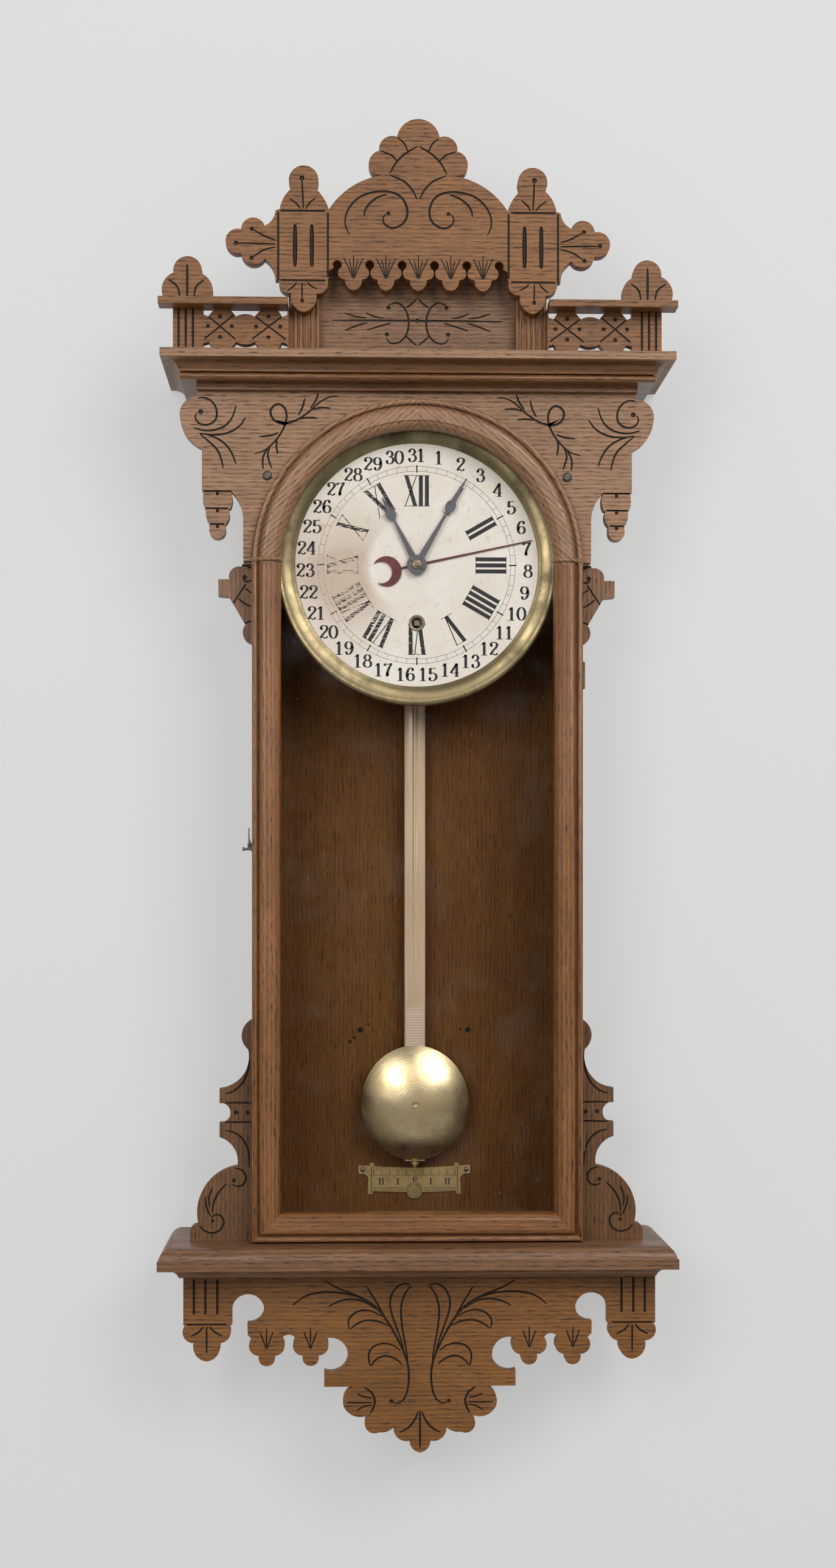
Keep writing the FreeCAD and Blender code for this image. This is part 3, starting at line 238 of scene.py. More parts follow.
def old_brass(name, bright, dull, rough=0.3, spun=None, pitting=0.75):
    """Lacquered brass gone brown in patches; spun is the centre of turning marks."""
    pit = tuple(v * 0.28 for v in dull)
    f = Finish(name, Metallic=1.0)
    patches = f.noise(f.mapped(), 38.0, 5.0, 0.62)
    specks = f.noise(f.mapped((1, 1, 1), (3, 1, 2)), 620.0, 3.0, 0.6)
    colour = f.mix(f.ramp(patches, (0.38, 0.0), (0.66, 1.0)), bright, dull)
    colour = f.mix(f.ramp(specks, (0.62, 0.0), (0.72, pitting)), colour, pit)
    f.set("Base Color", colour)
    f.set("Roughness", f.ramp(patches, (0.3, rough - 0.06), (0.7, rough + 0.2)))
    marks = [(specks, 0.12, 0.0003)]
    if spun is not None:
        radius = f.distance_from(spun)
        rings = f.add("TexNoise", {"W": radius, "Scale": 900.0, "Detail": 3.0},
                      noise_dimensions="1D").outputs["Fac"]
        marks.append((rings, 0.16, 0.0003))
    f.bump(*marks)
    return f.material


def dark_steel(name, base):
    """Blued steel, greyed and specked with rust."""
    rust = (0.09, 0.035, 0.016)
    f = Finish(name, Metallic=0.85)
    patches = f.noise(f.mapped(), 240.0, 5.0, 0.65)
    f.set("Base Color", f.mix(f.ramp(patches, (0.52, 0.0), (0.72, 0.8)), base, rust))
    f.set("Roughness", f.ramp(patches, (0.3, 0.32), (0.7, 0.6)))
    f.bump((patches, 0.15, 0.0003))
    return f.material


def dial_cream(f):
    """Aged paper: tan bloom over the left half, foxing and fine crazing.

    Returns the colour, and what it is made from: the bloom's extent, the slow drift of tone and
    the distance from the dial's centre.
    """
    drift = f.noise(f.mapped(), 14.0, 4.0, 0.55)
    cream = f.mix(f.ramp(drift, (0.35, 0.0), (0.7, 1.0)), (0.78, 0.73, 0.65), (0.68, 0.60, 0.50))

    # The bloom fades away from a point on the left, and stops short of the dial's centre.
    offset = f.distance_from(at(-58, 0, -8), 0.8, 0.62)
    bloom = f.sum("ADD", f.sum("MULTIPLY", offset, 12.5), f.sum("MULTIPLY", drift, 0.9))
    reach = f.distance_from(at(0, 0, 0))
    wavering = f.sum("ADD", reach, f.sum("MULTIPLY", drift, 0.012))
    outer = f.ramp(wavering, (0.043, 0.0), (0.049, 1.0))
    brown = f.sum("MULTIPLY", f.ramp(bloom, (0.6, 0.9), (1.1, 0.0)), outer)
    stained = f.mix(brown, cream, (0.50, 0.385, 0.29))

    spots = f.noise(f.mapped((1, 1, 1), (5, 0, 2)), 95.0, 6.0, 0.7)
    stained = f.mix(f.ramp(spots, (0.60, 0.0), (0.74, 0.5)), stained, (0.36, 0.24, 0.14))

    jumble = f.add("TexNoise", {"Vector": f.place, "Scale": 60.0}).outputs["Color"]
    warped = f.add("VectorMath", {0: f.place, 1: jumble}, operation="MULTIPLY").outputs["Vector"]
    cells = f.add("TexVoronoi", {"Vector": warped, "Scale": 55.0}, feature="DISTANCE_TO_EDGE")
    crazing = f.ramp(cells.outputs["Distance"], (0.0, 0.45), (0.012, 0.0))
    return f.mix(crazing, stained, (0.30, 0.21, 0.15)), bloom, drift, reach


def dial_finish():
    """Cream paper under a thin varnish."""
    f = Finish("dial_enamel", Specular_IOR_Level=0.35, Coat_Weight=0.08)
    colour, _, drift, _ = dial_cream(f)
    f.set("Base Color", colour)
    f.set("Roughness", f.ramp(drift, (0.3, 0.42), (0.7, 0.62)))
    f.bump((f.noise(f.mapped(), 900.0, 3.0), 0.08, 0.0002))
    return f.material


def ink_finish():
    """Black dial ink that has flaked off in rows where the paper is most stained."""
    f = Finish("dial_ink", Specular_IOR_Level=0.3)
    colour, bloom, _, reach = dial_cream(f)
    flakes = f.noise(f.mapped((0.5, 1, 3.0), (0, 0, 7)), 420.0, 3.0, 0.6)
    worn = f.sum("ADD", f.sum("MULTIPLY", bloom, -0.3), flakes)
    hour_ring = f.ramp(reach, (0.083, 1.0), (0.085, 0.0))
    lost = f.sum("MULTIPLY", f.ramp(worn, (0.28, 0.0), (0.33, 1.0)), hour_ring)
    f.set("Base Color", f.mix(lost, (0.018, 0.017, 0.018), colour))
    f.set("Roughness", f.ramp(flakes, (0.3, 0.45), (0.7, 0.65)))
    return f.material


def glass_finish():
    """Old window glass: nearly clear, with a few specks and a trace of dust."""
    f = Finish("window_glass", Roughness=0.05, Specular_IOR_Level=0.06)
    dust = f.noise(f.mapped(), 26.0, 5.0, 0.6)
    specks = f.ramp(f.noise(f.mapped((1, 1, 1), (2, 0, 4)), 620.0, 2.0), (0.74, 0.0), (0.8, 0.3))
    f.set("Base Color", f.ramp(dust, (0.3, (0.45, 0.45, 0.44)), (0.7, (0.60, 0.59, 0.56))))
    f.set("Alpha", f.sum("ADD", f.ramp(dust, (0.5, 0.0), (0.85, 0.02)), specks))
    return f.material


def painted(name, light, dark, scale, rough):
    """Paint or plaster with a slow change of tone and a fine tooth, still open to more nodes."""
    f = Finish(name, Specular_IOR_Level=0.3)
    tone = f.noise(f.mapped(), scale, 4.0)
    f.set("Base Color", f.ramp(tone, (0.3, dark), (0.7, light)))
    f.set("Roughness", f.ramp(tone, (0.3, rough - 0.05), (0.7, rough + 0.1)))
    f.bump((f.noise(f.mapped(), scale * 40, 3.0), 0.1, 0.0003))
    return f


# Light and dark tones of the wood in each part of the case.
CREST = (0.255, 0.103, 0.028), (0.118, 0.045, 0.010)
UPPER = (0.345, 0.182, 0.094), (0.165, 0.083, 0.041)
PANEL = (0.240, 0.114, 0.053), (0.112, 0.052, 0.023)
CORNICE = (0.225, 0.097, 0.036), (0.110, 0.045, 0.016)
LOWER = (0.285, 0.120, 0.042), (0.130, 0.052, 0.017)
APRON = (0.265, 0.107, 0.024), (0.118, 0.045, 0.009)
BRACKET = (0.168, 0.076, 0.028), (0.084, 0.035, 0.012)
BACK = (0.130, 0.052, 0.010), (0.070, 0.026, 0.005)

# Near-black walls of the carved grooves: painted shade in the cuts.
painted_groove_shade = painted("groove_painted_shade", (0.030, 0.017, 0.010), (0.012, 0.007, 0.004), 120.0,
                        0.6).material
red_paint = painted("red_paint", (0.15, 0.035, 0.03), (0.09, 0.022, 0.02), 90.0, 0.45).material
brass = old_brass("case_brass", (0.31, 0.245, 0.13), (0.125, 0.098, 0.055))
plate_brass = old_brass("plate_brass", (0.55, 0.40, 0.17), (0.26, 0.18, 0.08), 0.42)
movement_brass = old_brass("movement_brass", (0.62, 0.45, 0.19), (0.34, 0.24, 0.1), 0.35)
steel = dark_steel("hand_steel", (0.10, 0.10, 0.11))
screw_steel = dark_steel("screw_steel", (0.16, 0.15, 0.14))
ink = ink_finish()

# The way the grain runs in each board, and its tones.
WOODS = {
    "crest_plaque": ("X", CREST), "crest_panel": ("X", PANEL), "fence_left": ("X", CREST),
    "fence_right": ("X", CREST), "fence_rails": ("X", CREST), "pilasters": ("Z", CREST),
    "cornice_cap": ("X", UPPER), "cornice_moulding": ("X", CORNICE), "spandrel_board": ("X", UPPER),
    "upper_bracket_left": ("Z", PANEL), "upper_bracket_right": ("Z", PANEL),
    "lower_bracket_left": ("Z", BRACKET), "lower_bracket_right": ("Z", BRACKET),
    "door_stile_left": ("Z", LOWER), "door_stile_right": ("Z", LOWER), "door_rail": ("X", LOWER),
    "door_arch_left": (42, UPPER), "door_arch_right": (-42, UPPER), "shelf": ("X", PANEL),
    "shelf_cove": ("X", LOWER), "apron": ("X", APRON), "case_side_left": ("Z", BRACKET),
    "case_side_right": ("Z", BRACKET),
}


def coat(node, material):
    """Puts one material on a CAD node."""
    data = nodes[node].data
    data.materials.clear()
    data.materials.append(material)


def soften(node, width):
    """Rounds a CAD node's sharp edges, as wear does; width is in millimetres."""
    nodes[node].modifiers.new("weld", "WELD").merge_threshold = WELD_GAP
    bevel = nodes[node].modifiers.new("worn_edge", "BEVEL")
    bevel.width = width * MM
    bevel.segments = 2
    bevel.limit_method = "ANGLE"
    bevel.angle_limit = math.radians(50)
    bevel.harden_normals = False


for number, (node, (along, tones)) in enumerate(WOODS.items()):
    varnished = node.startswith(("door", "cornice_moulding", "shelf_cove"))
    coat(node, oak(node + "_oak", along, *tones, 0.37 * number, gloss=0.3 if varnished else 0.42))
coat("backboard", oak("backboard_oak", "Z", *BACK, 9.1, (0.05, 0.015, 0.003), 0.6, 0.3, 0.15))
coat("dial_blocks", oak("block_pine", "Z", (0.42, 0.27, 0.13), (0.3, 0.18, 0.08), 9.9,
                        (0.2, 0.11, 0.05)))
coat("pendulum_rod", rod_finish())
METALS = (
    (brass, "bezel winding_grommet hinge_case_leaves hinge_door_leaves hinge_pins hand_nut"),
    (movement_brass, "movement_plate_back movement_plate_front great_wheel second_wheel "
                     "third_wheel centre_wheel escape_wheel motion_wheel hour_wheel "
                     "calendar_wheel rating_nut"),
    (steel, "minute_hand hour_hand"),
    (screw_steel, "case_screws winding_arbor centre_arbor verge click mainspring latch_hook "
                  "latch_stud suspension_spring hanger_plate"),
    (plate_brass, "beat_plate"),
)
for metal, names in METALS:
    for node in names.split():
        coat(node, metal)
bob_low, bob_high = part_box("pendulum_bob")
bob_middle = [(low + high) / 2 for low, high in zip(bob_low, bob_high)]
coat("pendulum_bob", old_brass("bob_brass", (0.74, 0.60, 0.36), (0.50, 0.38, 0.20), 0.26,
                               bob_middle, 0.2))
coat("dial", dial_finish())
coat("calendar_hand", red_paint)
coat("door_glass", glass_finish())

for node in WOODS:
    soften(node, 0.5)
for node, width in (("pendulum_rod", 0.3), ("bezel", 0.2), ("beat_plate", 0.15),
                    ("minute_hand", 0.12), ("hour_hand", 0.12), ("calendar_hand", 0.1)):
    soften(node, width)


# ---------- strokes ----------

def curve_through(points, steps=6):
    """Points along a smooth curve that passes through the given ones."""
    if len(points) < 3:
        return list(points)
    ends = [points[0]] + list(points) + [points[-1]]
    run = []
    for a, b, c, d in zip(ends, ends[1:], ends[2:], ends[3:]):
        for n in range(steps):
            t = n / steps
            run.append(tuple(0.5 * (2 * q + (r - p) * t + (2 * p - 5 * q + 4 * r - s) * t * t
                                    + (3 * q - p - 3 * r + s) * t ** 3)
                             for p, q, r, s in zip(a, b, c, d)))
    return run + [tuple(points[-1])]


def tangents(run):
    """Unit directions along a run of points."""
    found = []
    for n in range(len(run)):
        a, b = run[max(n - 1, 0)], run[min(n + 1, len(run) - 1)]
        length = math.hypot(b[0] - a[0], b[1] - a[1])
        found.append(((b[0] - a[0]) / length, (b[1] - a[1]) / length))
    return found


def swell(count, width):
    """Half widths of a cut that starts fine, swells and runs out again."""
    shares = [0.3 + 0.7 * math.sin(math.pi * (n + 0.5) / count) ** 0.5 for n in range(count)]
    return [width / 2 * share for share in shares]


def flat(count, width):
    """Half widths of a cut of even width."""
    return [width / 2] * count


class Cutter:
    """Closed solids to be cut out of one board, kept in layers whose solids don't touch."""

    PROUD = 0.4     # how far a cutter stands out in front of the board

    def __init__(self, node):
        self.node = node
        self.front = front_of(node)
        self.layers = []

    def solid(self, verts, faces):
        """Adds one solid to the first layer where its box is clear of the others."""
        left, right, low, high = (pick(v[i] for v in verts) for i in (0, 2) for pick in (min, max))
        for layer in self.layers:
            if all(right < b[0] or b[1] < left or high < b[2] or b[3] < low
                   for b in layer["boxes"]):
                break
        else:
            layer = {"boxes": [], "verts": [], "faces": []}
            self.layers.append(layer)
        first = len(layer["verts"])
        layer["boxes"].append((left, right, low, high))
        layer["verts"] += verts
        layer["faces"] += [[first + n for n in face] for face in faces]

    def line(self, points, width, side=1, profile=swell, deep=0.9, across=0.0):
        """A gouged line with sloping walls."""
        run = [(side * x + across, z) for x, z in curve_through(points)]
        halves = profile(len(run), width)
        section = ((1.15, self.PROUD), (-1.15, self.PROUD), (-0.35, -deep), (0.35, -deep))
        verts = []
        for (x, z), (tx, tz), half in zip(run, tangents(run), halves):
            shallow = min(1.0, 0.4 + half)      # a fine cut is a shallow one
            for reach, depth in section:
                verts.append(at(x - tz * half * reach, self.front + depth * shallow,
                                z + tx * half * reach))
        self.solid(verts, lofted_faces(len(run), len(section)))

    def dot(self, x, z, radius, side=1, deep=1.4, across=0.0):
        """A drilled dot with a slightly coned wall."""
        count = 14
        verts = [at(u, self.front + depth, v) for reach, depth in ((1.05, self.PROUD), (0.8, -deep))
                 for u, v in circle(side * x + across, z, radius * reach, count)]
        self.solid(verts, lofted_faces(2, count))

    def cut(self):
        """One Boolean modifier for each layer of cutters; the groove walls take a near-black
        colour, painted shade in the cuts.
        """
        target = nodes[self.node]
        if not any(m.type == "WELD" for m in target.modifiers):
            target.modifiers.new("weld", "WELD").merge_threshold = WELD_GAP
        target.data.materials.append(painted_groove_shade)
        for n, layer in enumerate(self.layers):
            name = "%s_cutter_%d" % (self.node, n)
            mesh = closed_mesh(name, layer["verts"], layer["faces"], painted_groove_shade, painted_groove_shade)
            for face in mesh.polygons:
                face.material_index = 1
            cut = target.modifiers.new(name, "BOOLEAN")
            cut.operation = "DIFFERENCE"
            cut.solver = "MANIFOLD"
            cut.object = bpy.data.objects.new(name, mesh)


def engrave(node, lines=(), dots=(), sides=(1, -1), across=0.0, extra=None):
    """Cuts (width, points) lines and (x, z, radius) dots on each side of a board."""
    cutter = Cutter(node)
    for side in sides:
        for width, points in lines:
            cutter.line(points, width, side, across=across)
        for x, z, radius in dots:
            cutter.dot(x, z, radius, side, across=across)
    if extra:
        extra(cutter)
    cutter.cut()


# ---------- carving ----------

def plaque_extra(cutter):
    """Block borders, their two flutes, the centre drop and the sprigs on every drop."""
    for side in (1, -1):
        for points in ([(73.4, 227.5), (73.4, 280.0)], [(113.6, 223.5), (113.6, 280.0)],
                       [(75.5, 281.2), (111.5, 281.2)], [(75.5, 224.8), (111.5, 224.8)]):
            cutter.line(points, 1.9, side, flat)
        for x in (86.4, 100.0):
            cutter.line([(x, 236.0), (x, 244.0), (x, 261.0), (x, 270.0)], 3.6, side, deep=1.6)
    for centre in (-52.6, -26.3, 0.0, 26.3, 52.6):
        for lean, base, top in ((0.0, 0.0, 246.0), (-8.0, -1.2, 243.5), (8.0, 1.2, 243.5),
                                (-3.6, -0.7, 242.0), (3.6, 0.7, 242.0)):
            cutter.line([(centre + base, 228.6), (centre + (base + lean) * 0.45, 235.5),
                         (centre + lean, top)], 1.3, deep=0.5)
        cutter.dot(centre, 228.2, 1.7, deep=0.8)


engrave("crest_plaque", [
    (1.9, [(0.6, 334.4), (11.0, 328.0), (18.0, 321.0), (23.2, 312.0)]),
    (1.8, [(22.6, 310.6), (12.0, 306.0), (5.0, 299.0), (1.2, 291.5)]),
    (1.6, [(8.6, 330.4), (11.4, 336.5), (16.6, 341.0)]),
    (1.6, [(17.4, 322.4), (22.0, 327.0), (30.6, 330.3)]),
    (2.1, [(56.0, 262.5), (59.2, 270.0), (58.4, 279.0), (53.0, 288.0), (44.0, 294.5), (31.0, 297.5),
           (19.0, 296.0), (12.0, 290.5), (9.0, 282.0), (10.6, 274.0), (16.0, 269.2), (22.0, 268.0),
           (27.2, 270.8), (28.8, 275.4), (26.6, 279.4)]),
    (2.0, [(25.5, 295.2), (33.0, 292.6), (39.5, 287.6), (43.0, 282.5), (44.0, 277.5)]),
    (1.7, [(93.2, 283.0), (93.8, 294.0), (94.3, 306.0)]),
    (1.6, [(91.2, 282.8), (88.6, 287.2), (83.6, 291.5)]),
    (1.6, [(95.6, 282.8), (99.0, 287.0), (104.4, 291.0)]),
    (1.6, [(115.6, 257.4), (124.0, 260.0), (133.4, 265.4)]),
    (1.6, [(115.6, 254.0), (131.0, 254.4), (146.6, 254.6)]),
    (1.6, [(115.6, 251.6), (125.0, 249.2), (134.0, 243.4)]),
    (1.5, [(94.4, 223.0), (94.3, 216.0), (94.2, 209.0)]),
    (1.5, [(90.0, 223.2), (87.0, 220.4), (82.2, 218.0)]),
    (1.5, [(98.6, 223.2), (101.2, 220.0), (106.0, 216.2)]),
], [(24.4, 279.6, 1.6), (94.4, 307.6, 2.1), (134.8, 266.0, 1.7), (147.8, 254.7, 1.8),
    (135.2, 242.6, 1.8), (94.2, 208.2, 1.7)], extra=plaque_extra)


def panel_extra(cutter):
    """The long cut across both halves of the panel, and the dot at its middle."""
    cutter.line([(-70.0, 198.2), (-35.0, 198.4), (0.0, 198.4), (35.0, 198.4), (70.0, 198.2)], 1.9)
    cutter.dot(0.0, 198.4, 1.8)


engrave("crest_panel", [
    (1.8, [(23.6, 211.2), (17.0, 213.0), (11.0, 209.0), (7.6, 201.0), (7.6, 192.0), (10.6, 184.4),
           (16.6, 180.0), (22.4, 180.0), (25.6, 184.0)]),
    (1.6, [(0.6, 216.2), (5.0, 212.0), (9.2, 209.0)]),
    (1.6, [(0.6, 178.0), (5.6, 182.0), (9.6, 186.0)]),
    (1.5, [(28.0, 200.2), (36.0, 201.8), (42.4, 204.6)]),
    (1.5, [(42.0, 200.4), (51.0, 201.6), (60.0, 204.4)]),
    (1.5, [(22.0, 196.4), (32.0, 193.4), (41.6, 190.4)]),
    (1.5, [(41.0, 196.6), (50.0, 193.8), (59.6, 190.0)]),
], [(23.8, 209.0, 1.8), (25.2, 187.0, 1.8)], extra=panel_extra)

FENCE_LINES = [
    (1.7, [(107.6, 178.0), (135.0, 198.4)]), (1.7, [(108.2, 198.6), (135.0, 178.0)]),
    (1.7, [(148.6, 178.0), (173.0, 198.6)]), (1.7, [(148.6, 198.6), (173.4, 178.0)]),
    *((2.2, [(x, 168.0), (x, 186.0), (x, 206.0)]) for x in (182.8, 188.6, 194.4)),
    (2.2, [(187.4, 210.0), (187.4, 224.0), (187.4, 238.6)]),
    (1.8, [(182.0, 212.0), (180.0, 220.4), (174.0, 225.6)]),
    (1.8, [(193.4, 212.0), (195.6, 220.4), (202.6, 225.8)]),
]
FENCE_DOTS = [(112.0, 188.2, 1.7), (131.6, 188.2, 1.7), (121.6, 196.6, 1.7), (121.6, 179.6, 1.7),
              (151.4, 188.4, 1.7), (170.6, 188.4, 1.7), (160.8, 196.2, 1.7), (160.8, 179.6, 1.7)]
for node, side in (("fence_left", -1), ("fence_right", 1)):
    engrave(node, FENCE_LINES, FENCE_DOTS, (side,))


def spandrel_extra(cutter):
    """Shadow lines and notches between the tiers of each drop."""
    tiers = ((57.0, 152.6, 175.0), (43.0, 155.2, 173.0), (30.2, 158.2, 169.8))
    for side in (1, -1):
        for level, left, right in tiers:
            cutter.line([(left, level), (right, level)], 1.5, side, flat, 1.4)
            cutter.line([(163.7, level + 0.2), (163.7, level - 3.2)], 2.6, side, flat, 1.4)


engrave("spandrel_board", [
    (2.0, [(179.6, 132.8), (174.0, 133.4), (168.0, 130.0), (164.6, 124.0), (164.6, 117.0),
           (168.2, 112.6), (174.0, 111.0), (179.4, 113.0), (181.8, 117.6), (180.2, 121.2)]),
    (1.9, [(183.0, 108.8), (175.0, 106.6), (166.0, 107.0), (157.4, 110.6), (151.6, 117.6),
           (148.4, 127.4)]),
    (1.9, [(178.6, 104.4), (170.0, 103.2), (160.4, 103.5), (151.4, 106.4), (145.0, 111.2),
           (140.6, 117.6)]),
    (1.9, [(173.6, 103.4), (165.0, 100.6), (157.0, 95.2), (151.6, 87.4), (148.6, 79.2)]),
    (1.9, [(177.8, 103.6), (171.0, 97.8), (164.0, 91.0), (160.6, 83.2), (159.0, 76.0)]),
    (2.1, [(65.0, 135.2), (72.4, 134.4), (80.4, 130.2), (88.0, 123.2), (96.0, 117.4),
           (104.0, 113.6), (112.0, 112.8), (118.2, 116.2), (120.4, 122.0), (118.0, 126.8),
           (113.0, 128.4), (108.6, 124.8), (107.2, 118.0), (109.2, 110.0), (113.6, 102.2),
           (120.0, 94.8), (126.2, 90.2), (133.6, 88.0)]),
    (1.8, [(71.4, 125.6), (79.8, 125.8), (86.0, 124.2)]),
    (1.8, [(81.2, 137.8), (83.4, 131.6), (87.8, 125.2)]),
    (1.8, [(92.4, 133.2), (94.2, 126.2), (97.6, 119.6)]),
    (1.8, [(82.0, 117.2), (90.0, 117.6), (98.0, 116.4)]),
    (1.8, [(114.2, 105.2), (120.4, 102.8), (129.6, 101.8)]),
    (1.8, [(114.6, 101.6), (115.6, 95.2), (114.6, 87.8)]),
    (1.8, [(120.6, 94.0), (122.6, 86.6), (119.6, 76.4)]),
    (1.8, [(122.6, 92.4), (126.6, 84.6), (126.4, 75.4)]),
], [(177.4, 121.8, 2.1)], extra=spandrel_extra)


apron_middle = sum(corner[0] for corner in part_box("apron")) / 2 / MM


def apron_extra(cutter):
    """Sprigs on the trefoil drops, flutes and drops of the end blocks, and the centre sprig."""
    block = 175.0
    for side in (1, -1):
        place = {"side": side, "across": apron_middle}
        for centre in (90.0, 126.0):
            for lean, base, top in ((0.0, 0.0, -628.0), (-5.4, -1.0, -631.0), (5.4, 1.0, -631.0)):
                cutter.line([(centre + base, -642.6), (centre + (base + lean) * 0.5, -637.0),
                             (centre + lean, top)], 1.5, deep=0.6, **place)
            cutter.dot(centre, -643.6, 1.6, deep=0.8, **place)
        for x in (166.2, 176.0, 185.4):
            cutter.line([(x, -588.0), (x, -600.0), (x, -616.6)], 2.2, profile=flat, **place)
        cutter.line([(158.6, -624.8), (191.2, -624.8)], 1.7, profile=flat, **place)
        cutter.line([(block, -626.4), (block, -636.0), (block, -648.4)], 1.7, **place)
        for lean in (-1, 1):
            cutter.line([(block + 2.4 * lean, -626.6), (block + 7.0 * lean, -631.4),
                         (block + 13.0 * lean, -634.4)], 1.7, **place)
    cutter.line([(0.0, -696.5), (0.0, -712.0), (0.0, -727.0)], 2.0, across=apron_middle)


engrave("apron", [
    (1.8, [(7.6, -594.0), (12.6, -601.0), (15.6, -612.0), (14.8, -627.0), (12.0, -643.0),
           (10.0, -655.0)]),
    (1.8, [(7.8, -593.4), (13.0, -592.2), (20.0, -596.0), (24.4, -605.0), (23.8, -615.0),
           (19.8, -627.0), (15.2, -640.0), (11.6, -653.0)]),
    (2.0, [(78.0, -589.4), (70.0, -594.4), (60.0, -598.6), (48.0, -603.6), (36.0, -611.6),
           (26.0, -624.4), (18.0, -638.6), (12.0, -652.0), (9.2, -665.0), (10.2, -679.0),
           (13.4, -687.0), (18.6, -690.4), (23.4, -688.6)]),
    (1.8, [(44.0, -606.4), (54.0, -601.8), (68.0, -599.2), (83.0, -599.2), (95.0, -602.4),
           (104.6, -609.6)]),
    (1.8, [(36.4, -612.8), (46.0, -606.8), (56.0, -604.8), (66.0, -606.2), (75.0, -610.4)]),
    (1.7, [(28.4, -620.4), (36.0, -607.2), (43.8, -594.6)]),
    (1.8, [(31.0, -619.0), (40.0, -614.6), (49.0, -614.2), (56.0, -618.0), (59.0, -623.4),
           (58.0, -629.6)]),
    (1.8, [(25.2, -627.0), (34.0, -623.2), (44.0, -622.2), (52.0, -625.2), (57.4, -629.4)]),
    (1.8, [(16.0, -647.4), (22.0, -643.0), (30.0, -641.2), (38.0, -643.6), (42.0, -649.2),
           (41.8, -656.4), (40.4, -659.8)]),
    (1.8, [(14.6, -658.4), (21.0, -653.6), (29.0, -651.4), (36.0, -654.4), (40.2, -659.4)]),
    (2.1, [(46.0, -677.0), (40.0, -681.4), (37.2, -688.0), (38.6, -694.4), (41.0, -698.4)]),
    (1.5, [(39.6, -686.2), (46.0, -684.8), (51.6, -682.6)]),
    (1.5, [(39.0, -689.6), (49.0, -689.8), (60.0, -689.6)]),
    (1.5, [(39.6, -691.6), (46.0, -692.8), (52.0, -696.2)]),
    (1.9, [(1.6, -697.4), (4.6, -704.4), (9.8, -710.6), (16.6, -714.2)]),
], [(23.6, -688.6, 1.6)], across=apron_middle, extra=apron_extra)

UPPER_LINES = [
    (1.5, [(136.4, -4.0), (140.0, -2.2), (144.6, -1.6)]),
    (1.6, [(136.4, -14.0), (140.6, -15.0), (143.4, -12.6)]),
    (1.7, [(141.0, -17.0), (151.6, -33.0)]), (1.5, [(136.4, -24.4), (141.4, -20.6)]),
    (1.6, [(136.4, -35.4), (142.0, -33.0), (147.4, -28.6)]),
    (1.5, [(136.4, -47.2), (142.4, -49.6)]),
]
LOWER_LINES = [
    (1.9, [(139.6, -399.0), (138.2, -408.0), (139.4, -418.0), (144.0, -428.0), (151.0, -434.2),
           (157.6, -436.6)]),
    (1.7, [(136.4, -444.0), (148.0, -443.8), (158.4, -444.0)]),
    (1.7, [(136.4, -459.6), (148.0, -459.8), (158.4, -460.0)]),
    (1.8, [(157.6, -466.6), (149.6, -468.8), (142.8, -474.8), (138.8, -484.0), (138.0, -497.0)]),
    (1.8, [(150.0, -497.6), (144.0, -499.6), (141.0, -504.6), (142.4, -510.4), (147.6, -512.8),
           (152.2, -511.0)]),
    (1.9, [(156.8, -510.6), (162.6, -516.6), (167.0, -524.6), (168.6, -534.0)]),
    (1.7, [(168.6, -513.6), (171.2, -521.6), (170.8, -530.0)]),
    (1.7, [(174.4, -521.0), (173.6, -528.6), (170.2, -537.0)]),
    (1.9, [(169.6, -538.4), (165.6, -535.8), (160.8, -537.6), (159.4, -542.4), (161.8, -548.2),
           (168.6, -551.0), (175.4, -548.8), (179.0, -544.8)]),
]
LOWER_DOTS = [(139.4, -452.0, 1.7), (148.8, -451.8, 1.7), (150.8, -508.0, 1.7),
              (168.2, -541.0, 1.4)]
for side, where in ((-1, "left"), (1, "right")):
    engrave("upper_bracket_" + where, UPPER_LINES, [(142.0, -11.4, 1.9)], (side,))
    engrave("lower_bracket_" + where, LOWER_LINES, LOWER_DOTS, (side,))

# Old nail holes in the backboard.
engrave("backboard", (), [(-55.1, -398.0, 1.5), (-51.3, -394.6, 1.3), (-39.4, -383.1, 1.2),
                          (39.8, -387.5, 1.1)], (1,))


# ---------- printing ----------

class Print:
    """Flat shapes at one depth, made into a thin closed layer that rides on a body."""

    def __init__(self, name, depth, material, body, thickness=0.02):
        self.name, self.depth, self.material, self.body = name, depth, material, body
        self.thickness = thickness
        self.verts, self.faces = [], []

    def polygon(self, points):
        first = len(self.verts)
        self.verts += [at(x, self.depth, z) for x, z in points]
        self.faces.append(list(range(first, len(self.verts))))

    def box(self, left, low, right, high):
        self.polygon([(left, low), (right, low), (right, high), (left, high)])

    def ribbon(self, run, halves):
        """A band along a run of points."""
        rims = []
        for (x, z), (tx, tz), half in zip(run, tangents(run), halves):
            rims.append(((x - tz * half, z + tx * half), (x + tz * half, z - tx * half)))
        for (a, b), (c, d) in zip(rims, rims[1:]):
            self.polygon([a, b, d, c])

    def disc(self, x, z, radius, count=14):
        self.polygon(circle(x, z, radius, count))

    def ring(self, x, z, radius, width, count):
        run = circle(x, z, radius, count)
        self.ribbon(run + run[:1], flat(count + 1, width))

    def finish(self):
        """Makes the piece, once everything is printed."""
        piece = placed(self.name, closed_mesh(self.name, self.verts, self.faces, self.material))
        skin = piece.modifiers.new("layer", "SOLIDIFY")
        skin.thickness = self.thickness * MM
        skin.offset = 0.0
        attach(piece, self.body)


def turned_to(angle, radius, u, v):
    """A point u clockwise and v outwards from a radius at a clock angle in degrees."""
    turn = math.radians(angle)
    r = radius + v
    return r * math.sin(turn) + u * math.cos(turn), r * math.cos(turn) - u * math.sin(turn)


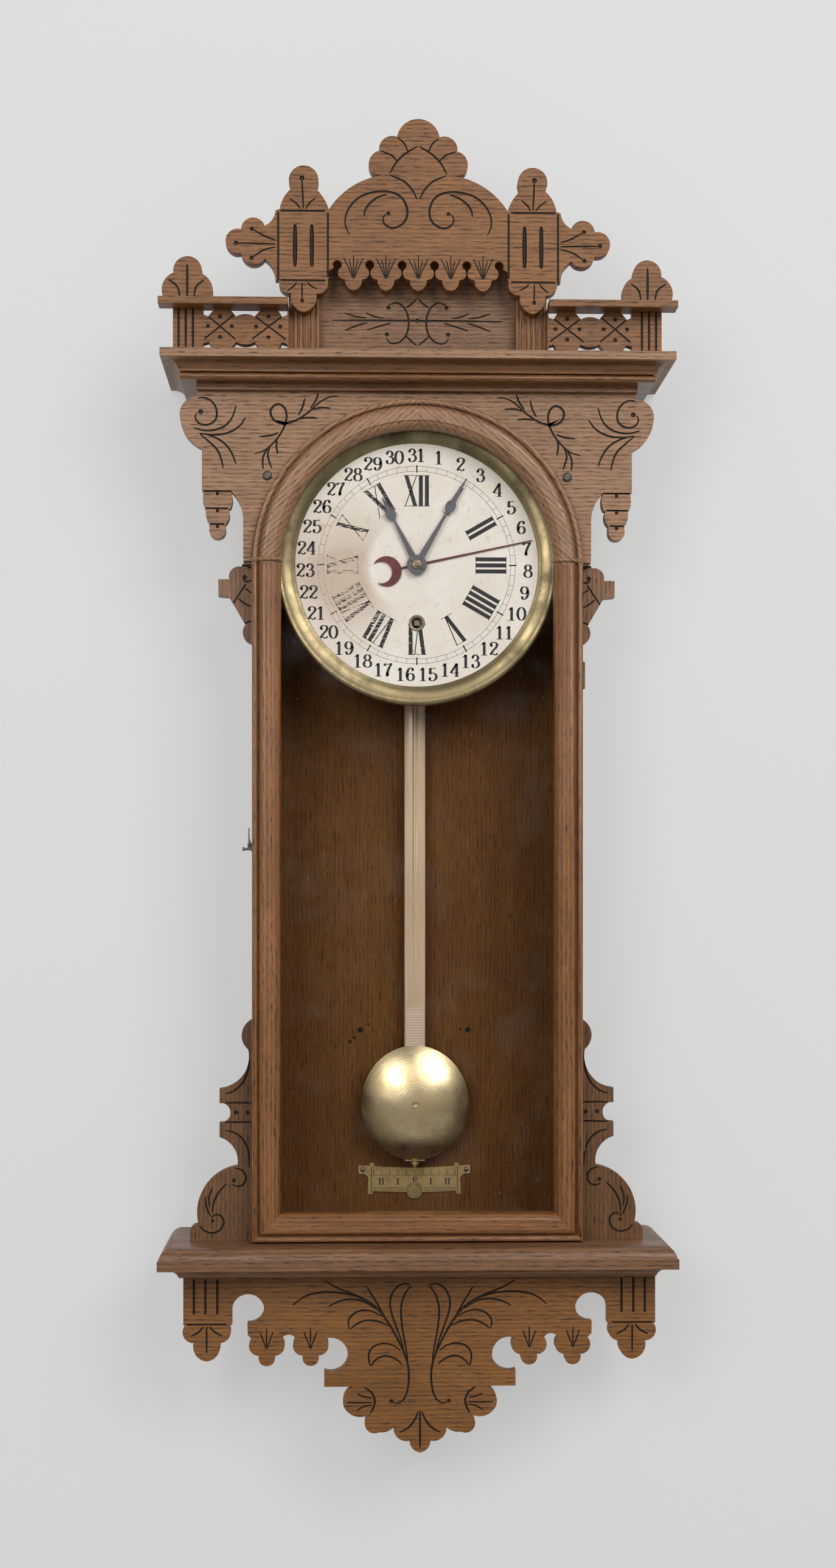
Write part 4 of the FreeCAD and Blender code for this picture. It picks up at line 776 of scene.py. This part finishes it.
ROMAN = ["I", "II", "III", "IIII", "V", "VI", "VII", "VIII", "IX", "X", "XI", "XII"]
LETTER_WIDTH = {"I": 5.0, "V": 10.4, "X": 11.6}


def roman_numeral(dial_print, angle, letters):
    """Heavy letters with thin cross strokes, their feet towards the centre."""
    base, height, heavy, fine, serif = 48.6, 25.6, 3.3, 0.8, 0.45
    start = -sum(LETTER_WIDTH[letter] for letter in letters) / 2

    def shape(corners):
        dial_print.polygon([turned_to(angle, base, u, v) for u, v in corners])

    def bar(foot, head, width):
        half = width / 2
        shape(((foot - half, 0), (foot + half, 0), (head + half, height), (head - half, height)))

    for letter in letters:
        end = start + LETTER_WIDTH[letter]
        left, right, middle = start + heavy / 2 + 0.4, end - 0.9, (start + end) / 2
        if letter == "I":
            bar(middle, middle, heavy)
        elif letter == "V":
            bar(middle + 0.4, left, heavy)
            bar(middle + 1.2, right, fine)
        else:
            bar(right - 1.2, left, heavy)
            bar(left - 1.0, right, fine)
        for low in (0.0, height - serif):
            shape(((start, low), (end, low), (end, low + serif), (start, low + serif)))
        start = end


OVAL_SIDES = 20


def oval(x, z, across, up):
    """A closed run round an oval."""
    run = [(x + across * u, z + up * v) for u, v in circle(0.0, 0.0, 1.0, OVAL_SIDES)]
    return run + run[:1]


# Skeletons of old-face figures in a box one unit high: runs of points, and ball terminals.
FIGURES = {
    "0": ([oval(0.29, 0.5, 0.23, 0.47)], []),
    "1": ([[(0.25, 0.02), (0.25, 0.98)], [(0.06, 0.80), (0.16, 0.84), (0.24, 0.95)],
           [(0.06, 0.02), (0.44, 0.02)]], []),
    "2": ([[(0.10, 0.72), (0.12, 0.88), (0.28, 0.98), (0.46, 0.86), (0.44, 0.64), (0.24, 0.36),
            (0.06, 0.06)],
           [(0.06, 0.06), (0.20, 0.12), (0.36, 0.03), (0.50, 0.16)]], [(0.13, 0.72)]),
    "3": ([[(0.10, 0.80), (0.26, 0.98), (0.44, 0.80), (0.38, 0.58), (0.22, 0.53)],
           [(0.22, 0.53), (0.42, 0.48), (0.50, 0.26), (0.36, 0.04), (0.18, 0.04), (0.08, 0.20)]],
          [(0.12, 0.78), (0.11, 0.21)]),
    "4": ([[(0.40, 0.02), (0.40, 0.98)], [(0.40, 0.97), (0.22, 0.62), (0.03, 0.27)],
           [(0.03, 0.27), (0.56, 0.27)], [(0.24, 0.02), (0.54, 0.02)]], []),
    "5": ([[(0.14, 0.95), (0.30, 0.92), (0.46, 0.96)], [(0.14, 0.96), (0.12, 0.52)],
           [(0.12, 0.52), (0.30, 0.60), (0.48, 0.46), (0.48, 0.20), (0.32, 0.03), (0.14, 0.06),
            (0.08, 0.20)]], [(0.11, 0.21)]),
    "6": ([oval(0.30, 0.30, 0.20, 0.27),
           [(0.46, 0.84), (0.36, 0.97), (0.20, 0.88), (0.09, 0.60), (0.09, 0.32)]], [(0.44, 0.82)]),
    "7": ([[(0.08, 0.78), (0.12, 0.93), (0.28, 0.90), (0.50, 0.97)],
           [(0.50, 0.97), (0.34, 0.62), (0.25, 0.32), (0.22, 0.02)],
           [(0.24, 0.30), (0.24, 0.02)]], []),
    "8": ([oval(0.29, 0.75, 0.17, 0.21), oval(0.29, 0.28, 0.22, 0.25)], []),
    "9": ([oval(0.28, 0.70, 0.20, 0.27),
           [(0.12, 0.16), (0.22, 0.03), (0.38, 0.12), (0.49, 0.40), (0.49, 0.68)]], [(0.14, 0.18)]),
}


def figures(layer, text, x, z, height, heavy=0.2, fine=0.05):
    """A number in old-face figures centred on a point; upright strokes are heavy, level fine."""
    widen, advance, ball = 1.2, 0.68, 0.095
    start = x - advance * len(text) * height / 2
    for letter in text:
        runs, balls = FIGURES[letter]
        for points in runs:
            run = points if len(points) > OVAL_SIDES else curve_through(points, 5)
            run = [(start + u * height * widen, z + (v - 0.5) * height) for u, v in run]
            halves = [height / 2 * (fine + (heavy - fine) * abs(tz) ** 1.6)
                      for _, tz in tangents(run)]
            layer.ribbon(run, halves)
        for u, v in balls:
            layer.disc(start + u * height * widen, z + (v - 0.5) * height, height * ball)
        start += advance * height


# The dial: twelve hours, a minute track of two rings, and the 31 days outside it.
DAY_ACROSS, DAY_UP, DAY_HEIGHT = 92.2, 90.8, 11.2
TRACK = (77.6, 81.7)
FIVE_MINUTES = (76.4, 82.6)
printing = Print("dial_printing", front_of("dial") + 0.02, ink, "case")
for hour, letters in enumerate(ROMAN, 1):
    roman_numeral(printing, 30.0 * hour, letters)
for day in range(1, 32):
    turn = math.radians(day * 360.0 / 31)
    figures(printing, str(day), DAY_ACROSS * math.sin(turn), DAY_UP * math.cos(turn), DAY_HEIGHT)
for radius in TRACK:
    printing.ring(0.0, 0.0, radius, 0.28, 180)
for minute in range(60):
    half, (inner, outer) = (0.55, FIVE_MINUTES) if minute % 5 == 0 else (0.13, TRACK)
    printing.polygon([turned_to(6.0 * minute, radius, u, 0) for radius, u in
                      ((inner, -half), (inner, half), (outer, half), (outer, -half))])
printing.finish()

# Stamped scale of the beat plate: divisions, figures, three base lines, side posts and a target.
plate_ink = painted("plate_stamping", (0.022, 0.015, 0.008), (0.012, 0.008, 0.004), 150.0,
                    0.6).material
scale_print = Print("beat_plate_marks", front_of("beat_plate") + 0.03, plate_ink, "case", 0.05)
TARGET_LEVEL, TARGET_REACH = -525.2, 8.4


def level_line(level, left, right):
    scale_print.box(left, level - 0.15, right, level + 0.15)


level_line(-512.0, -37.0, 37.0)
for level in (-522.6, -524.0, -525.4):
    for side in (-1, 1):
        level_line(level, *sorted((side * TARGET_REACH, side * 36.0)))
for n in range(-5, 6):
    for foot, top in ((-511.7, -507.6), (-506.5, -506.4)):
        scale_print.box(7.0 * n - 0.2, foot, 7.0 * n + 0.2, top)
for x, count in ((-28.3, 2), (-14.1, 1), (14.1, 1), (28.3, 2)):
    for n in range(count):
        middle = x + (n - (count - 1) / 2) * 2.6
        scale_print.box(middle - 0.55, -519.8, middle + 0.55, -514.6)
    for level in (-519.8, -514.8):
        level_line(level, x - 1.3 * count - 0.4, x + 1.3 * count + 0.4)
figures(scale_print, "0", 0.3, -515.2, 4.6, 0.22, 0.08)
for radius in (2.1, 4.0, 5.6, 6.8):
    scale_print.ring(0.0, TARGET_LEVEL, radius, 0.42, 40)
scale_print.disc(0.0, TARGET_LEVEL, 0.8)
for side in (-1, 1):
    for x, foot, top in ((36.8, -527.4, -504.6), (43.6, -510.4, -504.4)):
        scale_print.box(side * x - 0.25, foot, side * x + 0.25, top)
scale_print.finish()


# ---------- small fittings ----------

def bob_centre():
    """The turning centre left in the middle of the bob: a dimpled boss with a rim."""
    steps = ((0.6, 0.05), (0.9, 0.45), (1.5, 0.55), (1.9, 0.2), (2.3, 0.35), (2.7, 0.0),
             (2.7, -1.2))
    count = 24
    x, z = bob_middle[0] / MM, (bob_middle[2] - DIAL_LEVEL) / MM
    verts = [at(u, front_of("pendulum_bob") - 0.2 + rise, v) for radius, rise in steps
             for u, v in circle(x, z, radius, count)]
    piece = placed("bob_centre", closed_mesh("bob_centre", verts, lofted_faces(len(steps), count),
                                             nodes["pendulum_bob"].data.materials[0]))
    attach(piece, "pendulum")


bob_centre()


def collar(side):
    """The narrow turned bead where the arch of the door meets a stile."""
    profile = [(111.5, 96.4), (111.5, 99.6), (113.2, 104.4), (116.8, 107.6), (125.4, 107.6),
               (128.8, 106.2), (130.6, 104.0), (132.6, 105.0), (135.6, 102.8), (135.6, 96.4)]
    middle, middle_depth, bulge = 123.5, 101.0, 3.0
    rows = ((0.0, -1.3), (0.06, -0.9), (0.1, 0.0), (0.1, 0.9), (0.06, 1.8), (0.0, 2.2))
    verts = [at(side * (x + (x - middle) * grow),
                depth + max(depth - middle_depth, 0) * grow * bulge, level)
             for grow, level in rows for x, depth in profile]
    name = "door_collar_" + ("left" if side < 0 else "right")
    piece = placed(name, closed_mesh(name, verts, lofted_faces(len(rows), len(profile)),
                                     nodes["door_arch_right"].data.materials[0]))
    rounding = piece.modifiers.new("worn_edge", "BEVEL")
    rounding.width = 0.3 * MM
    rounding.segments = 2
    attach(piece, "door")


for side in (-1, 1):
    collar(side)


# ---------- room, light and camera ----------

# The wall is just clear of the clock's back. Room sizes are in metres, in the CAD frame.
WALL, FLOOR, CEILING, HALF_WIDTH, ROOM_FRONT = 0.0008, -1.5, 3.0, 4.0, -5.0
GLOW = 0.42


def room_plane(name, corners, material):
    """A staged surface that isn't part of the clock."""
    mesh = bpy.data.meshes.new(name)
    mesh.from_pydata(corners, [], [(0, 1, 2, 3)])
    mesh.materials.append(material)
    placed(name, mesh)


def glowing_wall():
    """Plaster with an even glow, which keeps the shadows soft.

    It neither glows nor shuts out light right behind the case, and from behind it is clear, so
    that the clock's back shows.
    """
    f = painted("wall_plaster", (0.285, 0.285, 0.285), (0.275, 0.275, 0.275), 3.0, 0.8)
    split = f.add("SeparateXYZ", {0: f.place}).outputs
    case_level, case_across, case_up = 0.375, 0.13, 0.345
    spans = ((split["X"], case_across), (f.sum("ADD", split["Z"], case_level), case_up))
    behind = f.sum("MULTIPLY", *(
        f.sum("LESS_THAN", f.add("Math", {0: socket}, operation="ABSOLUTE").outputs[0], reach)
        for socket, reach in spans))
    f.shader.inputs["Emission Color"].default_value = (1.0, 1.0, 1.0, 1.0)
    f.set("Emission Strength", f.sum("SUBTRACT", GLOW, f.sum("MULTIPLY", behind, GLOW)))

    unseen = f.sum("SUBTRACT", 1.0, f.add("LightPath").outputs["Is Camera Ray"])
    open_to_light = f.sum("MULTIPLY", behind, unseen)
    through = f.sum("MAXIMUM", f.add("NewGeometry").outputs["Backfacing"], open_to_light)
    clear = f.add("BsdfTransparent").outputs["BSDF"]
    surface = f.add("MixShader", {0: through, 1: f.shader.outputs["BSDF"], 2: clear}).outputs[0]
    f.tree.links.new(surface, f.tree.nodes["Material Output"].inputs["Surface"])
    return f.material


plaster = painted("room_plaster", (0.42, 0.42, 0.42), (0.41, 0.41, 0.41), 3.0, 0.8).material
room_plane("wall", [(-HALF_WIDTH, WALL, FLOOR), (HALF_WIDTH, WALL, FLOOR),
                    (HALF_WIDTH, WALL, CEILING), (-HALF_WIDTH, WALL, CEILING)], glowing_wall())
room_plane("floor", [(-HALF_WIDTH, ROOM_FRONT, FLOOR), (HALF_WIDTH, ROOM_FRONT, FLOOR),
                     (HALF_WIDTH, WALL, FLOOR), (-HALF_WIDTH, WALL, FLOOR)], plaster)


def area_light(name, place, target, size, power):
    """A square soft light turned to its target."""
    data = bpy.data.lights.new(name, "AREA")
    data.size = size
    data.energy = power
    lamp = placed(name, data)
    lamp.location = place
    lamp.rotation_euler = (Vector(target) - Vector(place)).to_track_quat("-Z", "Y").to_euler()


area_light("key", (1.3, -2.5, 1.2), (0.0, 0.0, -0.35), 1.7, 55.0)
area_light("fill", (-1.1, -2.5, 0.5), (0.0, 0.0, -0.4), 1.3, 30.0)
area_light("rear", (1.6, 2.0, 0.9), (0.0, 0.0, -0.35), 1.6, 30.0)
world = bpy.data.worlds.new("studio")
world.use_nodes = True
sky = world.node_tree.nodes["Background"].inputs
sky["Color"].default_value = (1.0, 1.0, 1.0, 1.0)
sky["Strength"].default_value = 0.28
bpy.context.scene.world = world

# A viewer 2 m away, a little left of the clock's middle and level with its door.
VIEWER, TURNED_RIGHT = (-0.0638, -2.0, DIAL_LEVEL - 0.2827), 1.93
camera_data = bpy.data.cameras.new("camera")
camera_data.sensor_width = 36.0
camera_data.lens = 53.37
camera_data.shift_y = 0.0784
camera = placed("camera", camera_data)
camera.location = VIEWER
camera.rotation_euler = (math.radians(90.0), 0.0, math.radians(-TURNED_RIGHT))
bpy.context.scene.camera = camera
bpy.context.scene.view_settings.view_transform = "Standard"
